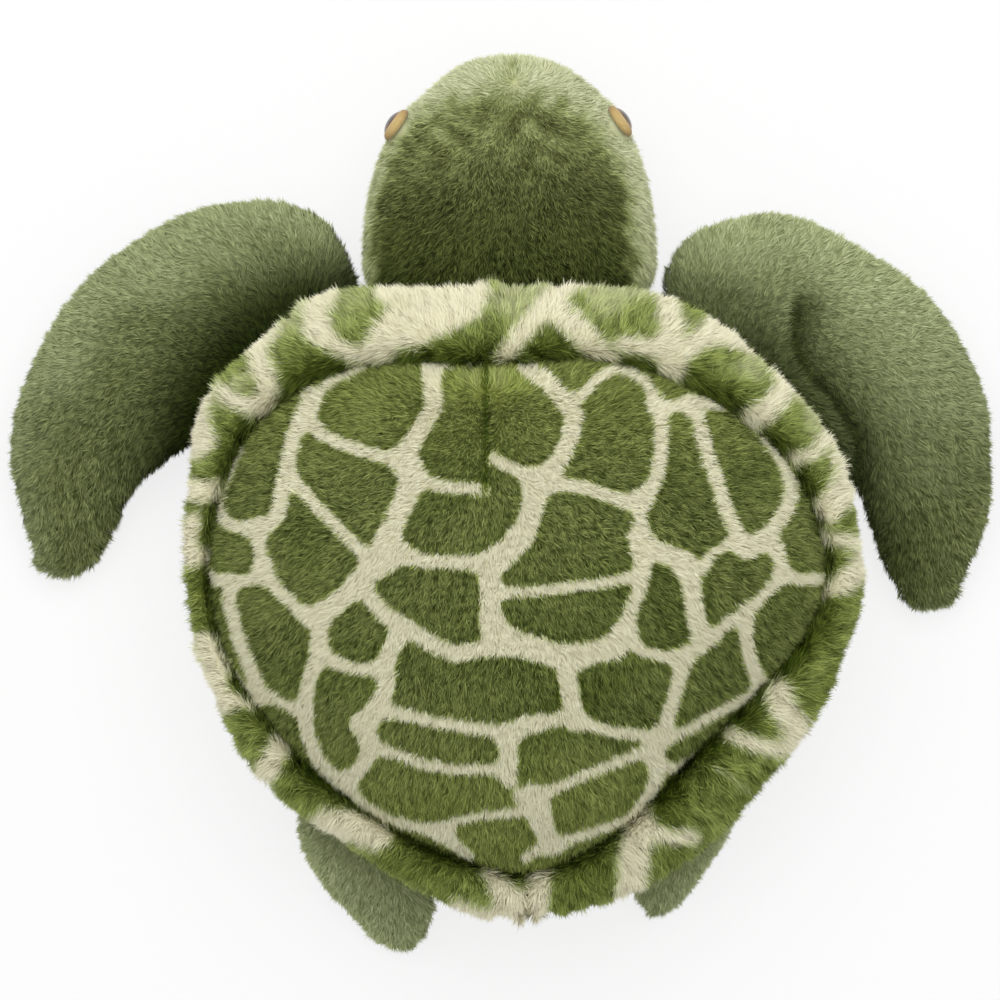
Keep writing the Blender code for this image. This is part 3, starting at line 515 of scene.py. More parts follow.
def new_piece(name, points, faces, places, pile, material, normals=None):
    """Object of triangles with a map, the pile attribute, and strand normals where they are given."""
    mesh = bpy.data.meshes.new(name)
    mesh.vertices.add(len(points))
    mesh.vertices.foreach_set("co", np.ascontiguousarray(points, np.float32).ravel())
    mesh.loops.add(faces.size)
    mesh.loops.foreach_set("vertex_index", np.ascontiguousarray(faces, np.int32).ravel())
    mesh.polygons.add(len(faces))
    mesh.polygons.foreach_set("loop_start", np.arange(0, faces.size, 3, dtype=np.int32))
    mesh.update(calc_edges=True)
    mesh.shade_smooth()
    bake = mesh.uv_layers.new(name="OFBake")
    bake.data.foreach_set("uv", np.ascontiguousarray(places, np.float32).ravel())
    look = mesh.attributes.new("pile", "FLOAT_COLOR", "POINT")
    look.data.foreach_set("color", np.ascontiguousarray(pile, np.float32).ravel())
    if normals is not None:
        shading = mesh.attributes.new("custom_normal", "FLOAT_VECTOR", "POINT")
        shading.data.foreach_set("vector", np.ascontiguousarray(normals, np.float32).ravel())
    mesh.materials.append(material)
    obj = bpy.data.objects.new(name, mesh)
    bpy.context.scene.collection.objects.link(obj)
    return obj


def new_skin(name, grid, look, material):
    """Closed skin on a grid. Its attribute holds pale share, shade, 0.5 and a low place on a strand, which
    gives it the painted root shade.
    """
    rows, spokes = grid.shape[:2]
    faces, places = grid_triangles(rows, spokes)
    points = np.concatenate([grid[1:-1].reshape(-1, 3), grid[:1, 0], grid[-1:, 0]])
    row = np.concatenate([np.repeat(np.arange(1.0, rows - 1), spokes), [0.0, rows - 1.0]])
    pale, shade = look(points, row)
    pile = np.stack([pale, shade, np.full(len(points), 0.5), np.full(len(points), 0.3)], axis=1)
    return new_piece(name, points, faces, places, pile, material)


def scatter(grid, density, weight, rng):
    """Random places on a grid, even by area times the weight: points, normals and row numbers."""
    normals = grid_normals(grid)
    ahead = np.roll(grid, -1, 1)
    area = np.linalg.norm(np.cross(ahead[1:] - grid[:-1], grid[1:] - ahead[:-1]), axis=-1) / 2
    middle = (grid[:-1] + ahead[:-1] + ahead[1:] + grid[1:]) / 4
    area = area * weight(middle, normals[:-1])
    steps = np.cumsum(area.ravel())
    count = int(steps[-1] * density)
    picks = np.searchsorted(steps, (np.arange(count) + rng.random(count)) * steps[-1] / count)
    row, spoke = np.divmod(np.minimum(picks, area.size - 1), grid.shape[1])
    following = (spoke + 1) % grid.shape[1]
    s, t = rng.random(count), rng.random(count)

    def mixed(field):
        low = field[row, spoke] * (1 - s)[:, None] + field[row, following] * s[:, None]
        high = field[row + 1, spoke] * (1 - s)[:, None] + field[row + 1, following] * s[:, None]
        return low * (1 - t)[:, None] + high * t[:, None]

    return mixed(grid), unit(mixed(normals)), row + t


def strands(name, roots, normals, flow, length, settings, look, row, material, rng):
    """Kite-shaped strands: a root, two edges at the bend, and a tip.

    Each leaves its root at the lean angle and bends over halfway. The flow is laid into the surface and
    turned by smooth and by random noise. Strands are pulled toward the crests of a noise of the tuft's
    size, so that they close up in tufts with dark gaps between them. The look is taken where the upper
    half lies, and the shading normals stay near the skin's, tipped up and to both edges of the strand.
    """
    count = len(roots)
    tuft = settings.tuft_size
    tangent = unit(flow - normals * dot(flow, normals))
    side = np.cross(tangent, normals)
    crest = ripple(roots, tuft, 11)
    near, broad, own = NAP_TURNS
    turn = near * ripple(roots, 2.3 * tuft, 12) + broad * ripple(roots, 9 * tuft, 13)
    turn = (turn + own * rng.normal(size=count))[:, None]
    tangent, side = (tangent * np.cos(turn) + side * np.sin(turn),
                     side * np.cos(turn) - tangent * np.sin(turn))
    near, own = LEAN_SPREAD
    lift = settings.lean * (1 + near * ripple(roots, 1.7 * tuft, 14) + own * rng.normal(size=count))
    lift = np.clip(lift, *LEAN_LIMITS)[:, None]
    size = (length * (1 + CREST_LENGTH * crest) * rng.uniform(*LENGTH_RANGE, count))[:, None]
    roll = rng.uniform(-TWIST, TWIST, count)[:, None]
    rise = normals * np.cos(lift) - tangent * np.sin(lift)
    edge = side * np.cos(roll) + rise * np.sin(roll)
    half = (settings.pile_width * rng.uniform(*WIDTH_RANGE, count))[:, None] / 2
    pull = uphill(roots, tuft, 11) * TUFT_PULL * tuft
    pull = pull - normals * dot(pull, normals)
    base = roots - normals * ROOT_DEPTH
    bend = base + 0.5 * size * (normals * np.sin(lift) + tangent * np.cos(lift)) + 0.4 * pull
    tip = bend + 0.5 * size * (normals * np.sin(lift * 0.6) + tangent * np.cos(lift * 0.6)) + 0.6 * pull
    points = np.stack([base, bend - edge * half, bend + edge * half, tip], axis=1)
    points[..., 2] = np.maximum(points[..., 2], TABLE_GAP)
    glint = unit(normals + np.array([0, 0, GLINT_UP]) + GLINT_SPREAD * rng.normal(size=(count, 3)))
    edges = (unit(glint + aside * edge) for aside in (-GLINT_EDGE, GLINT_EDGE))
    shading = np.stack([glint, *edges, glint], axis=1)
    corner = np.array([[0, 2, 1], [1, 2, 3]])
    faces = (np.arange(count)[:, None, None] * 4 + corner).reshape(-1, 3)
    columns = int(math.ceil(math.sqrt(count)))
    cell = np.stack([np.arange(count) % columns, np.arange(count) // columns], axis=1)
    outline = np.array([(0.5, 0.03), (0.04, 0.55), (0.96, 0.55), (0.5, 0.97)])
    places = ((cell[:, None, None] + outline[corner][None]) / columns).reshape(-1, 3, 2)
    pale, shade = look((bend + tip) / 2 + rng.normal(size=(count, 3)) * COLOUR_STRAY * tuft, row)
    pile = np.empty((count, 4, 4))
    pile[..., 0] = np.asarray(pale)[:, None]
    pile[..., 1] = np.asarray(shade)[:, None]
    # Own tone of a strand: random, plus painted light that makes strands on the tuft crests lighter and those
    # in the gaps darker
    pile[..., 2] = np.clip(0.16 + 0.14 * crest + 0.84 * rng.random(count) ** 2, 0, 1)[:, None]
    # Place from root to tip, which sets the painted root shade
    pile[..., 3] = np.array([0.0, 0.6, 0.6, 1.0])
    return new_piece(name, points.reshape(-1, 3), faces, places, pile.reshape(-1, 4), material,
                     shading.reshape(-1, 3))


def grow(name, grid, settings, look, flow, material, body, seed, weight, trim=None):
    """Pile on a grid, which rides on a body. trim gives each root's length share and an extra flow."""
    rng = np.random.default_rng(seed)
    density = settings.density * PER_SQUARE_METRE * 1
    roots, normals, row = scatter(grid, density, weight, rng)
    direction = flow(roots, normals, row)
    length_share = np.ones(len(roots))
    if trim is not None:
        length_share, aside = trim(roots)
        direction = direction + aside
        kept = length_share > LEAST_LENGTH_SHARE
        roots, normals, row, direction, length_share = (
            x[kept] for x in (roots, normals, row, direction, length_share))
    coat = strands(name, roots, normals, direction, settings.pile_length * length_share, settings, look, row,
                   material, rng)
    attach(coat, body)
    return coat


# Materials

def add_node(tree, kind, inputs=None, **settings):
    """Add a node, set its properties, and link or fill its inputs."""
    node = tree.nodes.new(kind)
    for key, value in settings.items():
        setattr(node, key, value)
    for key, value in (inputs or {}).items():
        if isinstance(value, bpy.types.NodeSocket):
            tree.links.new(value, node.inputs[key])
        else:
            node.inputs[key].default_value = value
    return node


def mixed_colour(tree, share, low, high, blend="MIX"):
    """Colour socket of a mix from low to high by share."""
    def rgba(value):
        return value if isinstance(value, bpy.types.NodeSocket) else (*value[:3], 1)

    node = add_node(tree, "ShaderNodeMix", {0: share, 6: rgba(low), 7: rgba(high)},
                    data_type="RGBA", blend_type=blend)
    return node.outputs[2]


def ranged(tree, value, low, high):
    """Value from 0..1 to low..high."""
    return add_node(tree, "ShaderNodeMapRange", {0: value, 3: low, 4: high}).outputs[0]


def stretched(tree, value, low, high):
    """Value from low..high to 0..1, held at both ends."""
    return add_node(tree, "ShaderNodeMapRange", {0: value, 1: low, 2: high}).outputs[0]


def new_material(name):
    """Empty node material and its Principled shader."""
    material = bpy.data.materials.new(name)
    material.use_nodes = True
    return material, material.node_tree, material.node_tree.nodes["Principled BSDF"]


def pile_material(name, colours):
    """Acrylic pile: soft matt fibres with painted shade at their roots, each a little lighter or darker than
    the next.

    The attribute gives the pale share, the shade share, the strand's own number, and the place from root to
    tip. The painted root shade is deeper on dyed strands than on cream ones.
    """
    material, tree, shader = new_material(name)
    pile = add_node(tree, "ShaderNodeAttribute", attribute_name="pile")
    parts = add_node(tree, "ShaderNodeSeparateColor", {0: pile.outputs["Color"]})
    pale, shade, own = parts.outputs
    place = add_node(tree, "ShaderNodeTexCoord").outputs["Object"]
    # Slow drift of the dye bath
    drift = add_node(tree, "ShaderNodeTexNoise", {"Vector": place, "Scale": 1 / DYE_DRIFT, "Detail": 3.0})
    tone = add_node(tree, "ShaderNodeMath", {0: own, 1: ranged(tree, drift.outputs[0], -0.3, 0.3)},
                    operation="ADD", use_clamp=True)
    green = mixed_colour(tree, tone.outputs[0], colours["dark"], colours["light"])
    # The shade share multiplies in the deep tint: printed darker green, and painted shade in creases, beside
    # the shell and under the roll
    shaded = mixed_colour(tree, shade, green, colours["deep"], "MULTIPLY")
    cream = mixed_colour(tree, own, colours["cream_shade"], colours["cream"])
    # Between green and cream the print runs out to a yellow green
    lime = mixed_colour(tree, own, *(tuple(share * c for c in colours["lime"]) for share in (0.6, 1.5)))
    fringed = mixed_colour(tree, stretched(tree, pale, 0.0, 0.4), shaded, lime)
    dyed = mixed_colour(tree, stretched(tree, pale, 0.25, 1.0), fringed, cream)
    # Painted root shade: how far toward the root, times how much a root darkens
    toward_root = ranged(tree, pile.outputs["Alpha"], -1.0, 0.0)
    root_shade_strength = ranged(tree, pale, GREEN_ROOT_PAINTED_SHADE, CREAM_ROOT_PAINTED_SHADE)
    painted_root_shade = add_node(tree, "ShaderNodeMath", {0: toward_root, 1: root_shade_strength}, operation="MULTIPLY")
    # The painted root shade is warm: it takes more blue than red
    kept = [add_node(tree, "ShaderNodeMath", {0: painted_root_shade.outputs[0], 1: rate, 2: 1.0}, operation="MULTIPLY_ADD",
                     use_clamp=True).outputs[0] for rate in (0.9, 1.0, 1.35)]
    warm_root_shade = add_node(tree, "ShaderNodeCombineColor", dict(enumerate(kept)))
    root_shaded = mixed_colour(tree, 1.0, dyed, warm_root_shade.outputs[0], "MULTIPLY")
    tree.links.new(root_shaded, shader.inputs["Base Color"])
    tree.links.new(ranged(tree, own, 0.75, 0.95), shader.inputs["Roughness"])
    # Fibre grain, drawn coarser than a fibre so that it shows
    grain = add_node(tree, "ShaderNodeTexNoise", {"Vector": place, "Scale": 1 / FIBRE_GRAIN})
    bump = add_node(tree, "ShaderNodeBump",
                    {"Height": grain.outputs[0], "Strength": 0.25, "Distance": 0.2 * MM})
    tree.links.new(bump.outputs[0], shader.inputs["Normal"])
    shader.inputs["Specular IOR Level"].default_value = 0.06
    return material


def eye_material():
    """Moulded acrylic eye: black pupil and rim, a brown iris with fine rays, and a hard clear gloss."""
    material, tree, shader = new_material("moulded_acrylic_eye")
    zone = add_node(tree, "ShaderNodeAttribute", attribute_name="pile")
    ramp = add_node(tree, "ShaderNodeValToRGB", {0: zone.outputs["Alpha"]})
    stops = ((0.0, "#050403"), (0.44, "#060403"), (0.50, "#5a3410"), (0.72, "#7a4a17"), (0.80, "#0a0705"),
             (1.0, "#040303"))
    for place, code in stops[1:-1]:
        ramp.color_ramp.elements.new(place)
    for element, (place, code) in zip(ramp.color_ramp.elements, stops):
        element.position = place
        element.color = (*linear(code), 1)
    place = add_node(tree, "ShaderNodeTexCoord").outputs["Object"]
    rays = add_node(tree, "ShaderNodeTexNoise", {"Vector": place, "Scale": 1 / IRIS_RAY})
    rayed = mixed_colour(tree, ranged(tree, rays.outputs[0], 0, 0.4), ramp.outputs[0], linear("#020101"))
    tree.links.new(rayed, shader.inputs["Base Color"])
    tree.links.new(ranged(tree, rays.outputs[0], 0.03, 0.09), shader.inputs["Roughness"])
    shader.inputs["Coat Weight"].default_value = 0.5
    shader.inputs["Coat Roughness"].default_value = 0.03
    return material


def suede_material(light, dark):
    """Sueded polyester: short matt nap, tan, darker and redder at both ends of the lid."""
    material, tree, shader = new_material("tan_lid_suede")
    zone = add_node(tree, "ShaderNodeAttribute", attribute_name="pile")
    place = add_node(tree, "ShaderNodeTexCoord").outputs["Object"]
    nap = add_node(tree, "ShaderNodeTexNoise", {"Vector": place, "Scale": 1 / SUEDE_NAP, "Detail": 4.0})
    # Tan in the middle, darker and redder toward both ends of the lid
    darker_to_ends = mixed_colour(tree, zone.outputs["Alpha"], light, dark)
    tree.links.new(mixed_colour(tree, ranged(tree, nap.outputs[0], 0, 0.55), darker_to_ends, linear("#7d5a2c")),
                   shader.inputs["Base Color"])
    tree.links.new(ranged(tree, nap.outputs[0], 0.75, 0.98), shader.inputs["Roughness"])
    bump = add_node(tree, "ShaderNodeBump", {"Height": nap.outputs[0], "Strength": 0.5, "Distance": 0.3 * MM})
    tree.links.new(bump.outputs[0], shader.inputs["Normal"])
    shader.inputs["Sheen Weight"].default_value = 0.3
    return material


def washer_material():
    """Moulded nylon washer: milky, faintly mottled and half matt."""
    material, tree, shader = new_material("moulded_nylon_washer")
    place = add_node(tree, "ShaderNodeTexCoord").outputs["Object"]
    mottle = add_node(tree, "ShaderNodeTexNoise", {"Vector": place, "Scale": 1 / NYLON_MOTTLE})
    tree.links.new(mixed_colour(tree, mottle.outputs[0], linear("#cfcdc6"), linear("#e2e0d9")),
                   shader.inputs["Base Color"])
    tree.links.new(ranged(tree, mottle.outputs[0], 0.35, 0.55), shader.inputs["Roughness"])
    return material


# Settings

def length(name, description, millimetres):
    """Length setting in millimetres."""
    return bpy.props.FloatProperty(name=name, description=description, default=millimetres * MM, min=0,
                                   unit="LENGTH", subtype="DISTANCE")


def number(name, description, value):
    """Plain number setting."""
    return bpy.props.FloatProperty(name=name, description=description, default=value, min=0)


def slope(name, description, degrees):
    """Angle setting in degrees."""
    return bpy.props.FloatProperty(name=name, description=description, default=math.radians(degrees), min=0,
                                   unit="ROTATION", subtype="ANGLE")


def tint(name, description, code):
    """Colour setting from an sRGB hex colour."""
    return bpy.props.FloatVectorProperty(name=name, description=description, default=linear(code), size=3,
                                         min=0, max=1, subtype="COLOR")


def pile_settings(place, solid, sizes, cream_name, colours):
    """Settings of a pile fabric: six sizes, then the words and sRGB hex code of each of its six colours."""
    pile_length, pile_width, density, tuft_size, lean, inset = sizes
    settings = {
        "pile_length": length("Pile length", f"Length of a strand on {place}", pile_length),
        "pile_width": length("Strand width", "Width of a strand at its middle", pile_width),
        "density": number("Strands per square millimetre", f"How many strands grow on {place}", density),
        "tuft_size": length("Tuft size", f"Size of a tuft of strands on {place}", tuft_size),
        "lean": slope("Lean", "Angle of a strand above the fabric", lean),
        "inset": length("Skin inset", f"How far the skin lies inside the {solid}'s solid", inset),
    }
    names = ("Dark green", "Light green", "Deep tint", "Yellow green", cream_name, cream_name + " shade")
    for key, name, (words, code) in zip(COLOUR_KEYS, names, colours):
        settings[key] = tint(name, words, code)
    return settings


class DomeSettings(bpy.types.PropertyGroup):
    """Pile, relief and colours of the domed shell."""
    __annotations__ = {
        **pile_settings("the dome", "shell", (6.0, 0.38, 3.3, 3.0, 48, 3.2), "Cream", (
            ("Darkest strands of a scute", "#36441a"),
            ("Lightest strands of a scute", "#a9b56c"),
            # Deep tint: darker green inside the scute edges, in slow patches and behind the middle, and
            # painted shade along the dart and below the roll's crease
            ("What the green is multiplied by in the creases", "#a2b573"),
            ("Where a scute runs out to cream", "#a6b45c"),
            ("Lines between the scutes", "#faf9de"),
            ("Darker strands of the cream lines", "#eee9c6"))),
        "dart_depth": length("Dart depth", "Depth of the sewn dart at the front of the dome", 3.8),
        "dimple_depth": length("Dimple depth", "Depth of the pressed place at the front left", 3.0),
    }


class RollSettings(bpy.types.PropertyGroup):
    """Pile and colours of the stuffed roll round the shell."""
    __annotations__ = {
        **pile_settings("the roll", "roll", (8.5, 0.42, 3.1, 7.0, 46, 6.0), "Cream", (
            ("Darkest strands of a green patch", "#4c6120"),
            ("Lightest strands of a green patch", "#b7c56c"),
            # Deep tint: painted shade beside the crease, and darker patches
            ("What the green is multiplied by beside the crease", "#8a9c5c"),
            ("Where a green patch runs out to cream", "#acba70"),
            ("Cream streaks across the roll", "#fffde0"),
            ("Darker strands of the streaks", "#f4eed0"))),
        "waviness": length("Waviness", "Height of the lumps along the roll", 1.1),
    }


class HeadSettings(bpy.types.PropertyGroup):
    """Pile and colours of the head."""
    __annotations__ = {
        **pile_settings("the head", "head", (5.6, 0.38, 2.8, 2.8, 50, 4.0), "Pale sage", (
            ("Darkest strands of the crown", "#222d0c"),
            ("Lightest strands of the crown", "#a4ad6f"),
            # Deep tint: painted shade toward the back of the head, and the darker mouth line
            ("What the green is multiplied by at the back of the neck", "#a3ad86"),
            ("Soft edge of the crown", "#a7b374"),
            ("Face and sides of the head", "#f0f2cc"),
            ("Darker strands of the face", "#bdc594"))),
    }


class FlipperSettings(bpy.types.PropertyGroup):
    """Pile and colours of the four flippers."""
    __annotations__ = {
        **pile_settings("a flipper", "flipper", (5.8, 0.42, 2.8, 3.6, 47, 3.7), "Pale sage", (
            ("Darkest strands of the flipper", "#3c4a1e"),
            ("Lightest strands of the flipper", "#a3ad72"),
            # Deep tint: painted shade beside the shell and in the fold of the right front flipper
            ("What the green is multiplied by beside the shell", "#5f6f38"),
            ("Half way to the pale leading edge", "#97a374"),
            ("Airbrushed leading edge and tip", "#e0e6b6"),
            ("Darker strands of the pale edge", "#9dab74"))),
        "fold_depth": length("Fold depth", "Depth of the fold across the right front flipper", 6.5),
    }


class BodySettings(bpy.types.PropertyGroup):
    """Pile and colours of the body cushion."""
    __annotations__ = {
        **pile_settings("the belly", "body", (5.0, 0.75, 0.9, 4.0, 38, 2.0), "Belly cream", (
            ("Green under the roll", "#5f7140"),
            ("Lighter green under the roll", "#9aa873"),
            # Deep tint: painted shade at the top of the body under the roll
            ("What the green is multiplied by in the seams", "#a2b37a"),
            ("Edge of the green under the roll", "#a9b585"),
            ("Lightest strands of the belly", "#fbf5e0"),
            ("Darker strands of the belly", "#ddd3b0"))),
    }


class EyeSettings(bpy.types.PropertyGroup):
    """Sizes and colours of the eyes and their lids."""
    eye_radius: length("Eye radius", "Radius of the plastic eye", EYE_RADIUS / MM)
    lid_width: length("Lid width", "Thickness of the lid at its foot", LID_BASE_WIDTH / MM)
    sunk: length("Sunk", "How far the eye and its lid are pulled into the pile", 1.5)
    lid_light: tint("Lid tan", "Middle of the suede lid", "#d6bc7c")
    lid_dark: tint("Lid brown", "Ends of the suede lid", "#966a2c")


class StageSettings(bpy.types.PropertyGroup):
    """Floor, lamps and camera."""
    floor_size: length("Floor size", "Side of the square floor", 8000)
    lamp_size: length("Lamp size", "Side of the soft box over the table", 1400)
    lamp_height: length("Lamp height", "Height of the soft box", 1350)
    lamp_ahead: length("Lamp ahead", "How far the soft box stands toward the nose", 650)
    lamp_power: number("Lamp power", "Power of the soft box in watts", 13.9)
    sky_strength: number("Sky strength", "Strength of the even light all round", 0.62)
    focal_length: number("Focal length", "Focal length of the camera in millimetres", 500)
    view_width: length("View width", "Width of what the camera sees on the table", 500)


# Shell

def shell_profile(height):
    """Share of the widest plan that the dome has at a height: (1 - u^n)^(1/n) above the widest level."""
    rise = np.clip((height - SHELL_WIDEST_Z) / (SHELL_TOP_Z - SHELL_WIDEST_Z), 0, 1)
    return (1 - rise ** SHELL_SQUARENESS) ** (1 / SHELL_SQUARENESS)


def shell_plan(count):
    """Roll's outer edge, crease and lift at even places round the shell, from the front seam to the left."""
    left, right = SHELL_PLAN_SHARES["left"], SHELL_PLAN_SHARES["right"]
    table = [(*row, lift) for row, lift in zip(left, ROLL_LIFT_SHARES)]
    table += [(*row, lift) for row, lift in zip(right[-2:0:-1], ROLL_LIFT_SHARES[-2:0:-1])]
    curve = catmull_rom(table, np.arange(count) * len(table) / count, closed=True)
    outer = SHELL_CENTRE + curve[:, 0:2] * SHELL_HALF_SIZE
    crease = SHELL_CENTRE + curve[:, 2:4] * SHELL_HALF_SIZE
    return outer, crease, curve[:, 4]


def dome_relief(points, inside, settings):
    """Depth of the dome's relief: a dart that runs back from the front seam, a round dimple, and slow lumps.

    inside is 0 at the crease and below it and 1 on the open dome, where the skin lies deeper under its pile.
    """
    x, y = points[..., 0], points[..., 1]
    reach = smooth(-2 * MM, 62 * MM, y)
    dart = settings.dart_depth * reach * np.exp(-((x - DART_X) / (3.0 * MM)) ** 2)
    away = ((x + 77 * MM) ** 2 + (y - 6 * MM) ** 2) / (11 * MM) ** 2
    dimple = settings.dimple_depth * np.exp(-away)
    lumps = -dart - dimple + 1.0 * MM * ripple(points, 70 * MM, 21)
    return inside * lumps - settings.inset * (0.25 + 0.75 * inside)


def dome_grid(settings):
    """Skin of the dome: the plan's spokes times cos^(2/n), at the heights of sin^(2/n), over a flat base."""
    _, crease, lift = shell_plan(SHELL_SPOKES)
    crease_share = shell_profile(ROLL_SIDE_Z + lift * ROLL_FRONT_RISE)
    widest = (crease - SHELL_CENTRE) / crease_share[:, None]
    across, up = rounded(np.linspace(0, math.pi / 2, DOME_ROWS), SHELL_SQUARENESS)
    shares = np.concatenate([[0, 0.5, 0.85, 0.96, 0.99], across])
    heights = np.concatenate([[0, 0, 0, 0.06, 0.5], np.ones(DOME_ROWS)]) * (SHELL_WIDEST_Z - SHELL_BASE_Z)
    heights = heights + SHELL_BASE_Z
    heights[5:] += up * (SHELL_TOP_Z - SHELL_WIDEST_Z)
    shares[-1] = 0
    flat = SHELL_CENTRE + shares[:, None, None] * widest[None]
    grid = np.concatenate([flat, np.broadcast_to(heights[:, None, None], (*flat.shape[:2], 1))], axis=-1)
    inside = smooth(0, 0.13, crease_share - shares[:, None]) * (heights > SHELL_WIDEST_Z)[:, None]
    return displaced(grid, dome_relief(grid, inside, settings))


def dome_look(points, row):
    """Cream on the lines between the scutes, a deeper green just inside their edges and painted shade along
    the dart.

    Beside the dart and at the front crease the green turns yellower. Below the roll's crease it is all painted
    shade.
    """
    x, y, z = points.T
    depth = line_depth(points[:, :2], SCUTE_LINES_MM)
    pale = smooth(-1.2 * MM, 0.8 * MM, depth + LINE_SPREAD)
    ring = smooth(-5 * MM, -1 * MM, depth)
    # Painted shade along the dart's crease
    dart = np.exp(-((x - DART_X) / DART_SHADE_WIDTH) ** 2) * smooth(-4 * MM, 4 * MM, y)
    lime = smooth(30 * MM, 62 * MM, y) * np.exp(-((x - DART_X) / (30 * MM)) ** 2)
    rear = 0.35 * np.exp(-((x - 35 * MM) / (70 * MM)) ** 2 - ((y + 85 * MM) / (38 * MM)) ** 2)
    shade = 0.3 * ring + 0.25 * smooth(0.1, 1.3, ripple(points, 45 * MM, 31)) + rear
    tips = 0.12 * smooth(-100 * MM, -160 * MM, y) + 0.10 * smooth(0, 50 * MM, y)
    # Painted shade below the roll's crease, behind the roll
    below = smooth(*DOME_SHADED_FOOT, z)
    pale = np.maximum(pale, np.maximum(0.34 * lime, tips)) * (1 - 0.9 * dart) * (1 - below)
    return pale, np.clip(np.maximum(shade * (1 - lime), np.maximum(dart, below)), 0, 1)


def dome_flow(points, normals, row):
    """Nap that parts at the dart, fans out rearward, and turns forward over the front crease."""
    x, y = points[:, 0] - DART_X, points[:, 1]
    rearward = np.minimum(y, 0) + (60 * smooth(40 * MM, 64 * MM, y) - 30) * MM
    return unit(np.stack([x, rearward, 0 * x], axis=1)) + np.array([0, 0, -0.2])


def roll_grid(side, settings):
    """Half of the roll: squared ellipses along the plan that lean on the dome, drawn in at both seams."""
    steps = SHELL_SPOKES // 2
    outer, crease, lift = (np.concatenate([x, x[:1]]) for x in shell_plan(SHELL_SPOKES))
    half = slice(0, steps + 1) if side == "left" else slice(steps, 2 * steps + 1)
    outer, crease, lift = outer[half], crease[half], lift[half]
    middle_z = (ROLL_SIDE_Z + lift * ROLL_FRONT_RISE)[:, None]
    half_height = ROLL_SIDE_HALF_HEIGHT + lift * (ROLL_FRONT_HALF_HEIGHT - ROLL_SIDE_HALF_HEIGHT)
    across, up = rounded(-np.arange(ROLL_SPOKES) * 2 * math.pi / ROLL_SPOKES, ROLL_SQUARENESS)
    span = outer - crease
    width = np.linalg.norm(span, axis=1)[:, None]
    height = middle_z + up * half_height[:, None]
    reach = np.linalg.norm(crease - SHELL_CENTRE, axis=1)[:, None]
    wall = reach * (shell_profile(height) / shell_profile(middle_z) - 1)
    aside = np.maximum(ROLL_WALL_GAP + (width - ROLL_WALL_GAP) * (1 + across) / 2, wall + ROLL_WALL_GAP)
    flat = crease[:, None] + aside[..., None] * (span / width)[:, None]
    rings = np.concatenate([flat, height[..., None]], axis=-1)
    middle = rings.mean(axis=1, keepdims=True)
    along = np.minimum(np.arange(len(rings)), np.arange(len(rings))[::-1])[:, None, None]
    rings = middle + (rings - middle) * (1 - SEAM_PINCH * np.exp(-(along / SEAM_PINCH_STEPS) ** 2))
    caps = [middle[0] + (rings[0] - middle[0]) * share for share in (0, SEAM_RING_SHARE)]
    tail = [middle[-1] + (rings[-1] - middle[-1]) * share for share in (SEAM_RING_SHARE, 0)]
    outer_share = np.broadcast_to(smooth(-0.7, 0.5, across), (len(rings) + 4, ROLL_SPOKES))
    from_end = np.minimum(np.arange(len(rings) + 4), np.arange(len(rings) + 4)[::-1])[:, None]
    open_share = outer_share * smooth(2, 5, from_end)
    grid = np.concatenate([np.stack(caps), rings, np.stack(tail)])
    lumps = settings.waviness * ripple(grid, 48 * MM, 41)
    turn = np.degrees(np.arctan2(*(grid[..., :2] - SHELL_CENTRE).transpose(2, 0, 1))) % 360
    trim = np.interp(turn, *np.array(ROLL_TRIM_MM).T, period=360) * MM
    trim = trim * np.maximum(open_share, 0.55 * outer_share)
    depth = open_share * lumps - trim - settings.inset * (0.2 + 0.8 * open_share)
    turned = face_outward(grid)
    return displaced(turned, depth if turned is grid else depth[:, ::-1])


def edge_distance(edge, away):
    """How far an edge round the shell lies from its middle, in the direction of each vector."""
    from_middle = edge - SHELL_CENTRE
    turn = np.arctan2(*from_middle.T)
    order = np.argsort(turn)
    return np.interp(np.arctan2(away[:, 0], away[:, 1]), turn[order],
                     np.linalg.norm(from_middle, axis=1)[order], period=2 * math.pi)


def roll_place(points):
    """How far a point lies from the crease to the roll's outer edge in plan, about 0 to 1."""
    outer, crease, _ = shell_plan(SHELL_SPOKES)
    away = points[:, :2] - SHELL_CENTRE
    inner, edge = edge_distance(crease, away), edge_distance(outer, away)
    return (np.linalg.norm(away, axis=1) - inner) / (edge - inner)


def roll_look(points, row):
    """Cream streaks, painted shade (deep green) beside the crease, and yellow green on the outer half with a
    pale fringe.
    """
    place = roll_place(points)
    depth = line_depth(points[:, :2], ROLL_STREAKS_MM)
    streaks = smooth(-3.6 * MM, 2.6 * MM, depth + STREAK_SPREAD)
    under = smooth(*ROLL_UNDERSIDE, points[:, 2])
    patches = smooth(-0.8, 0.8, ripple(points, 30 * MM, 42))
    front = smooth(-40 * MM, 50 * MM, points[:, 1])
    fringe = smooth(0.74, 1.0, place) * (0.2 + 0.45 * front) * (0.4 + 0.6 * patches)
    lime = smooth(0.2, 0.75, place) * (0.10 + 0.34 * front) * (0.4 + 0.6 * patches)
    pale = np.maximum(streaks, np.maximum(fringe, np.maximum(lime, 0.4 * under)))
    # Shade share: painted shade beside the crease, and darker patches, fewer at the front
    shade = smooth(0.6, 0.08, place) * 0.6 + 0.35 * (1 - patches) * (1 - 0.6 * front)
    return np.clip(pale, 0, 1), np.clip(shade, 0, 1)


